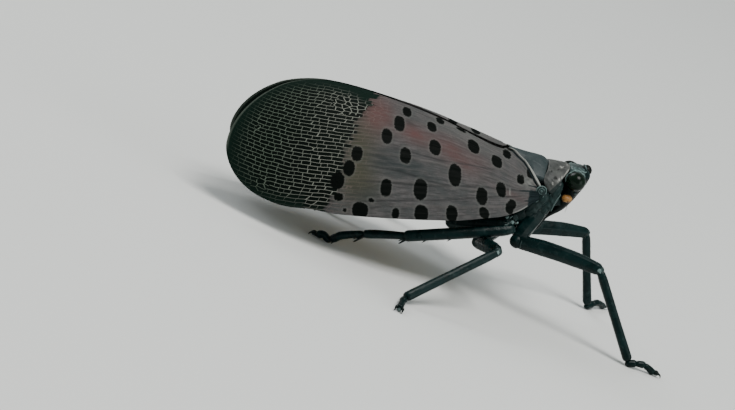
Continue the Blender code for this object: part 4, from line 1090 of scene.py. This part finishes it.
def make_head(frame, material):
    """The head with its knob, the rims of its eyes, its ocelli and the antennae's sockets."""
    rings, tones = skull()
    shapes = [loft(rings, tones=tones), ball(KNOB_CENTRE, KNOB_RADII, tones=BLACK),
              tube(VERTEX_GROOVE, (0.05, 0.07, 0.05), 24, 10, tones=0.3 * PALE)]
    level = rings[np.argmin(np.abs(rings[:, 0, 2] - VERTEX_EDGE_LEVEL))]
    for side in SIDES.values():
        rim_at = mirror(EYE_SKIN_CENTRE, side) - (0.0, EYE_RIM_DEPTH * side, 0.0)
        hoop = [rim_at + EYE_RIM_RADIUS * np.array((-cos(a), 0.0, sin(a)))
                for a in np.linspace(-0.1 * pi, 0.9 * pi, 30)]
        pale_half = ease(0.1, 0.5, side * np.sin(2 * pi * np.arange(10) / 10))
        rim_tones = join(pale_half, 0.8 * (1 - pale_half), 0.0)
        eye_rim = tube(hoop, 0.04, 70, 10, (0.0, 1.0, 0.0), tones=rim_tones)
        edge = [level[int(side * k) % len(level)] for k in range(20, 52, 3)]
        edge_line = tube(edge, 0.035, 60, 8, tones=0.9 * PALE)
        shapes += [
            wrinkle(eye_rim, 0.02, 0.35), wrinkle(edge_line, 0.02, 0.3),
            ball(mirror(OCELLUS, side), (0.09, 0.07, 0.09), 12, 16, tones=0.35 * PALE + 0.3 * BLACK),
            ball(mirror(ANTENNA_ROOT, side), (0.3, 0.16, 0.28), 14, 20, tones=0.8 * BLACK),
            tube(mirror(EYE_BRIDGE, side), (0.6, 0.62), 10, 28, tones=0.5 * BLACK)]
    add_piece("head_skin", shapes, frame, material, ["head"])


def make_face_parts(frame, eye, bulb, cuticle):
    """Eyes, antennae with their bristles, and the tegulae over the wing roots, with a painted highlight
    on each tegula.
    """
    for word, side in SIDES.items():
        globe = ball(mirror(EYE_SKIN_CENTRE, side), EYE_RADIUS, 64, 96)
        add_piece(f"eye_skin_{word}", [globe], frame, eye, [f"eye_{word}"])

        middle = mirror(ANTENNA_BULB, side)
        shapes = [tube([mirror(ANTENNA_ROOT, side), middle], (0.17, 0.2), 14, 24, tones=0.35 * BLACK),
                  ball(middle, BULB_RADII, 40, 56),
                  ball(middle - (0.0, 0.12 * side, 0.0), 1.08 * np.array(BULB_RADII), 30, 40,
                       tones=0.8 * BLACK),
                  tube(middle + mirror(BRISTLE, side), (0.04, 0.015, 0.006), 20, 6, tones=BLACK)]
        add_piece(f"antenna_skin_{word}", shapes, frame, bulb, [f"antenna_{word}"])

        shapes = [ball(mirror(TEGULA_CENTRE, side), TEGULA_RADII, 30, 40, tones=0.05 * PALE)]
        for size, swing, pale in TEGULA_RINGS:
            a = np.linspace(*swing, 24)
            hoop = TEGULA_CENTRE + join(size * np.cos(a), 0.06 + (0.34 - size) / 3, size * np.sin(a))
            shapes.append(tube(mirror(hoop, side), 0.03, 50, 8, tones=pale * PALE))
        # A small pale ball at the inner ring's middle: a painted highlight.
        shapes.append(ball(mirror(TEGULA_HIGHLIGHT, side), (0.09, 0.06, 0.09), 14, 18, tones=0.3 * PALE))
        add_piece(f"tegula_skin_{word}", shapes, frame, cuticle, [f"tegula_{word}"])


def make_rostrum(frame, material):
    """The beak folded back under the thorax."""
    shapes = [tube(ROSTRUM_PATH, ROSTRUM_RADII, 60, 20, tones=0.4 * BLACK),
              ball(ROSTRUM_PATH[2], (0.3, 0.27, 0.26), tones=0.4 * BLACK)]
    add_piece("rostrum_skin", shapes, frame, material, ["rostrum"])


def of_leg(table, pair, word):
    """A leg's value, under the pair's name or the leg's own."""
    return table[pair] if pair in table else table[f"{pair}_{word}"]


def leg_hairs(path, radii, count, rng):
    """Short bristles that lean along a limb towards its far end."""
    line, sizes = resample(path, radii, 60)
    ways = unit(np.gradient(line, axis=0))
    at = rng.integers(3, 57, count)
    turn = rng.uniform(0, 2 * pi, count)
    across = unit(np.cross(ways[at], (0.1, 0.2, 1.0)))
    out = across * np.cos(turn)[:, None] + np.cross(ways[at], across) * np.sin(turn)[:, None]
    roots = line[at] + out * (sizes[at].min(1) * 0.9)[:, None]
    length = HAIR_LENGTH * rng.uniform(0.6, 1.3, count)[:, None]
    tips = roots + (out * HAIR_SPREAD + ways[at] * HAIR_LEAN) * length
    tips[:, 2] = np.maximum(tips[:, 2], 0.01)
    return cones(roots, tips, HAIR_RADIUS, tones=BLACK)


def on_floor(shape):
    """A shape with every point that would sink into the floor raised to it."""
    shape[0][:, 2] = np.maximum(shape[0][:, 2], 0.0)
    return shape


def make_foot(tread, joints, radius, rng):
    """Three tarsal joints along the tread, two claws and the pad between them."""
    length = steps_along(tread)[-1]
    shapes = []
    for k, (start, stop) in enumerate(zip(joints, joints[1:])):
        path = points_along(tread, np.linspace(start * length - 0.07, stop * length + 0.07, 7))
        bulge = np.array((0.85, 0.88, 0.92, 0.96, 1.0, 1.02, 0.92)) * radius * (1.08 - 0.06 * k)
        shapes.append(on_floor(tube(path, bulge, 34, 18, carinae=4, carina=0.05)))
    shapes.append(leg_hairs(tread, radius, FOOT_HAIRS, rng))
    toe = tread[-1]
    ahead = unit((toe - tread[-2]) * (1.0, 1.0, 0.0))
    outward = np.array((-ahead[1], ahead[0], 0.0))
    up = np.array((0.0, 0.0, 1.0))
    for turn in (-1.0, 1.0):
        root = toe - ahead * 0.12 + outward * 0.07 * turn
        claw = [root, root + ahead * 0.3 + outward * 0.16 * turn + up * 0.12,
                toe + ahead * 0.38 + outward * 0.25 * turn + up * 0.04,
                toe + ahead * (CLAW_LENGTH - 0.05) + outward * 0.27 * turn - up * (toe[2] - 0.03)]
        shapes.append(tube(claw, (0.1, 0.085, 0.055, 0.012), 22, 10, tones=0.6 * BLACK))
    pad = [toe - ahead * 0.05, toe + ahead * 0.16 - up * 0.02, toe + ahead * 0.3 - up * 0.06]
    shapes.append(on_floor(tube(pad, ((0.09, 0.08), (0.14, 0.09), (0.12, 0.05)), 16, 16,
                                tones=0.25 * PALE)))
    return shapes


def foot_path(pair, word, side, knee, femur_way):
    """The shin's path, the shares of its radius and the foot's tread, in the floor frame."""
    if pair == "hind":
        turn = unit(mirror(HIND_KNEE_TURN, side))
        bend = knee - femur_way * 0.5 + turn * 0.8
        heel = mirror(HIND_HEEL[word], side)
        shin = [knee + turn * 0.1, knee + femur_way * 0.12 + turn * 0.45, bend, (bend + heel) / 2, heel]
        tread = [heel - unit(heel - bend) * 0.3, *mirror(HIND_TARSUS[word], side)]
        return shin, (0.6, 0.8, 0.9, 1.0, 0.95), np.array(tread)
    heel_spot, toe_spot = of_leg(FEET, pair, word)
    heel, foot, toe = (mirror((*spot, height), side) for spot, height in
                       zip((heel_spot, heel_spot, toe_spot), (HEEL_HEIGHT, SOLE_HEIGHT, TOE_HEIGHT)))
    arch = foot * 0.45 + toe * 0.55 + (0.0, 0.0, ARCH_RISE)
    tread = np.array([foot - unit(toe - foot) * 0.15, foot, arch, toe])
    shin = [knee + (heel - knee) * share for share in (0.0, 0.12, 0.5, 1.0)]
    return shin, (0.8, 0.95, 0.92, 1.0), tread


def make_leg(pair, word, side, to_floor, frame, material, rng):
    """One continuous leg: coxa, trochanter, femur, tibia, foot, spines and hairs, with a painted
    highlight on the knee.
    """
    name = f"{pair}_{word}"
    points = [of_leg(table, pair, word) for table in (HIPS, TROCHANTERS, KNEES)]
    hip, trochanter, knee = (np.array(to_floor @ Vector(mirror(point, side))) for point in points)
    femur_way = unit(knee - trochanter)
    shin, shin_shares, tread = foot_path(pair, word, side, knee, femur_way)
    shin_radii = TIBIA_RADIUS[pair] * np.array(shin_shares)
    joints = FOOT_JOINTS[pair]
    up = (0.0, 0.25 * side, 1.0)
    coxa = [hip, hip * 0.65 + trochanter * 0.35 - femur_way * 0.05,
            hip * 0.3 + trochanter * 0.7 - femur_way * 0.08, trochanter - femur_way * 0.05]
    collar = [trochanter + femur_way * at for at in (0.22, 0.34, 0.46)]
    bow = np.array((0.0, 0.0, FEMUR_BOW[pair]))
    femur = [trochanter - femur_way * 0.1, trochanter * 0.7 + knee * 0.3 + bow,
             trochanter * 0.3 + knee * 0.7 + bow, knee + femur_way * 0.18]
    femur_radii = FEMUR_RADIUS[pair] * np.array(((0.75, 0.85), (0.88, 1.0), (0.82, 0.95), (0.62, 0.72)))
    lump = TROCHANTER_RADIUS[pair]
    # A pale ball set outward on the knee: a painted highlight.
    knee_highlight = ball(knee + (-0.08, 0.25 * side, 0.0), (0.15, 0.1, 0.13), 18, 24, tones=0.75 * PALE)
    shapes = [
        wrinkle(tube(coxa, COXA_RADII[pair], 70, 56, (0.0, 1.0, 0.0), carinae=7), 0.02, 1.4),
        ball(trochanter, (lump, 0.9 * lump, 0.95 * lump)),
        tube(collar, (0.4, 0.45, 0.42), 16, 32, up, tones=0.12 * PALE),
        tube(femur, femur_radii, 70, 48, up, carinae=6, carina=0.09),
        # The knee's faint pale share is a painted glint.
        ball(knee, (0.28, 0.28, 0.3), 18, 24, tones=0.12 * PALE),
        wrinkle(knee_highlight, 0.03, 0.3),
        tube(shin, shin_radii, 110, 32, up, carinae=4, carina=0.12),
        leg_hairs(femur, 0.4, FEMUR_HAIRS, rng),
        leg_hairs(shin, shin_radii * 0.95, TIBIA_HAIRS, rng),
    ]
    if pair == "hind":
        shapes += hind_spines(shin[2], shin[-1], side) + foot_spines(tread, joints, side)
    shapes += make_foot(tread, joints, TARSUS_RADIUS[pair], rng)
    nodes = [f"leg_{name}_{part}" for part in ("coxa", "femur", "tibia", "tarsus")]
    add_piece(f"leg_skin_{name}", shapes, frame, material, nodes)


def spine(root, tip, radius):
    """A sharp tapered spine from root to tip."""
    return tube([root, (root + tip) / 2, tip], (radius, 0.08, 0.015), 14, 12, (0.3, 0.9, 0.2),
                tones=0.5 * BLACK)


def spine_crown(root, way, side, length):
    """A fan of spines that points back below the end of a hind leg's joint."""
    shapes = []
    for turn in (-1.0, -0.5, 0.0, 0.5, 1.0):
        lean = unit((0.0, 0.8 * turn * side, -0.75 + 0.3 * abs(turn)))
        tip = root + (lean * 0.56 + way * 0.7) * length
        tip[2] = max(tip[2], 0.02)
        shapes.append(spine(root, tip, 0.12))
    return shapes


def hind_spines(start, heel, side):
    """The rows of strong spines on a hind tibia and the crown at its end."""
    way = unit(heel - start)
    shapes = []
    for number, place in enumerate(HIND_SPINES):
        root = start + (heel - start) * place
        lean = unit((0.0, 0.35 * side, -0.85 if number % 2 else 0.8))
        shapes.append(spine(root, root + (lean * 0.55 + way * 0.8) * SPINE_LENGTH, 0.14))
    return shapes + spine_crown(heel - way * 0.6, way, side, SPINE_LENGTH)


def foot_spines(tread, joints, side):
    """Shorter crowns of spines at the ends of a hind foot's first two joints."""
    length = steps_along(tread)[-1]
    shapes = []
    for end, setback, reach in ((joints[1], 0.25, 1.05), (joints[2], 0.6, 0.65)):
        root, ahead = points_along(tread, end * length - setback + np.array((0.0, 0.1)))
        shapes += spine_crown(root, unit(ahead - root), side, reach)
    return shapes


def make_stage():
    """A plain pale floor under soft studio light."""
    bpy.ops.mesh.primitive_plane_add(size=FLOOR_SIZE)
    floor = bpy.context.object
    floor.name = "floor"
    look = Surface("floor", Roughness=0.7, Base_Color=FLOOR_COLOUR)
    floor.data.materials.append(look.material)
    world = bpy.data.worlds.new("studio")
    bpy.context.scene.world = world
    world.use_nodes = True
    background = world.node_tree.nodes["Background"]
    background.inputs["Color"].default_value = STUDIO_COLOUR
    background.inputs["Strength"].default_value = STUDIO_STRENGTH
    for name, spot, size, power, tint in LIGHTS:
        light = bpy.data.lights.new(name, "AREA")
        light.size = size
        light.energy = power
        light.color = tint
        lamp = bpy.data.objects.new(name, light)
        lamp.location = spot
        lamp.rotation_euler = (Vector(spot) - Vector(LIT_POINT)).to_track_quat("Z", "Y").to_euler()
        bpy.context.scene.collection.objects.link(lamp)


def make_camera(body_frame):
    """A camera with the photograph's view of the body frame."""
    behind, above, roll = CAMERA_BEHIND, CAMERA_ABOVE, CAMERA_ROLL
    look = Vector((sin(behind) * cos(above), cos(behind) * cos(above), -sin(above)))
    level = Vector((cos(behind), -sin(behind), 0.0))
    upright = level.cross(look)
    right = level * cos(roll) + upright * sin(roll)
    up = upright * cos(roll) - level * sin(roll)
    turn = Matrix((right, up, -look)).transposed()
    spot = Vector(CAMERA_ANCHOR) - look * CAMERA_DISTANCE
    wide, high = PHOTO_SIZE
    camera = bpy.data.cameras.new("camera")
    camera.sensor_width = SENSOR_WIDTH
    camera.lens = SENSOR_WIDTH * CAMERA_DISTANCE * PIXELS_PER_MM / wide
    camera.shift_x = (wide / 2 - CAMERA_ANCHOR_PIXEL[0]) / wide
    camera.shift_y = (CAMERA_ANCHOR_PIXEL[1] - high / 2) / wide
    camera.clip_start = 0.01
    camera.clip_end = 20.0
    holder = bpy.data.objects.new("camera", camera)
    body_turn = body_frame.to_3x3()
    holder.matrix_world = Matrix.Translation((body_frame @ spot) * MM) @ (body_turn @ turn).to_4x4()
    bpy.context.scene.collection.objects.link(holder)
    bpy.context.scene.camera = holder


def main():
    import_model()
    to_floor = Matrix.Translation((0.0, 0.0, BODY_HEIGHT)) @ Matrix.Rotation(-PITCH, 4, "Y")
    low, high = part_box("eye_left")
    away = (low + high) / 2 / MM - to_floor @ Vector(EYE_CENTRE)
    floor_frame = Matrix.Translation((away.x, away.y, 0.0))
    body_frame = floor_frame @ to_floor

    cuticle, wing, hindwing = cuticle_material(), wing_material(), hindwing_material()
    make_head(body_frame, cuticle)
    make_face_parts(body_frame, eye_material(), bulb_material(), cuticle)
    make_rostrum(body_frame, cuticle)
    make_pronotum(body_frame, plate_material("grey_plate", *GREY_TONES, 0.5, 0.08))
    make_mesonotum(body_frame, plate_material("blue_plate", *BLUE_TONES, 0.45, 0.05))
    make_thorax(body_frame, cuticle)
    make_abdomen(body_frame, belly_material())
    rng = np.random.default_rng(HAIR_SEED)
    for word, side in SIDES.items():
        make_forewing(word, side, body_frame, wing)
        make_hindwing(word, side, body_frame, hindwing)
        for pair in HIPS:
            make_leg(pair, word, side, to_floor, floor_frame, cuticle, rng)
    make_stage()
    make_camera(body_frame)


main()
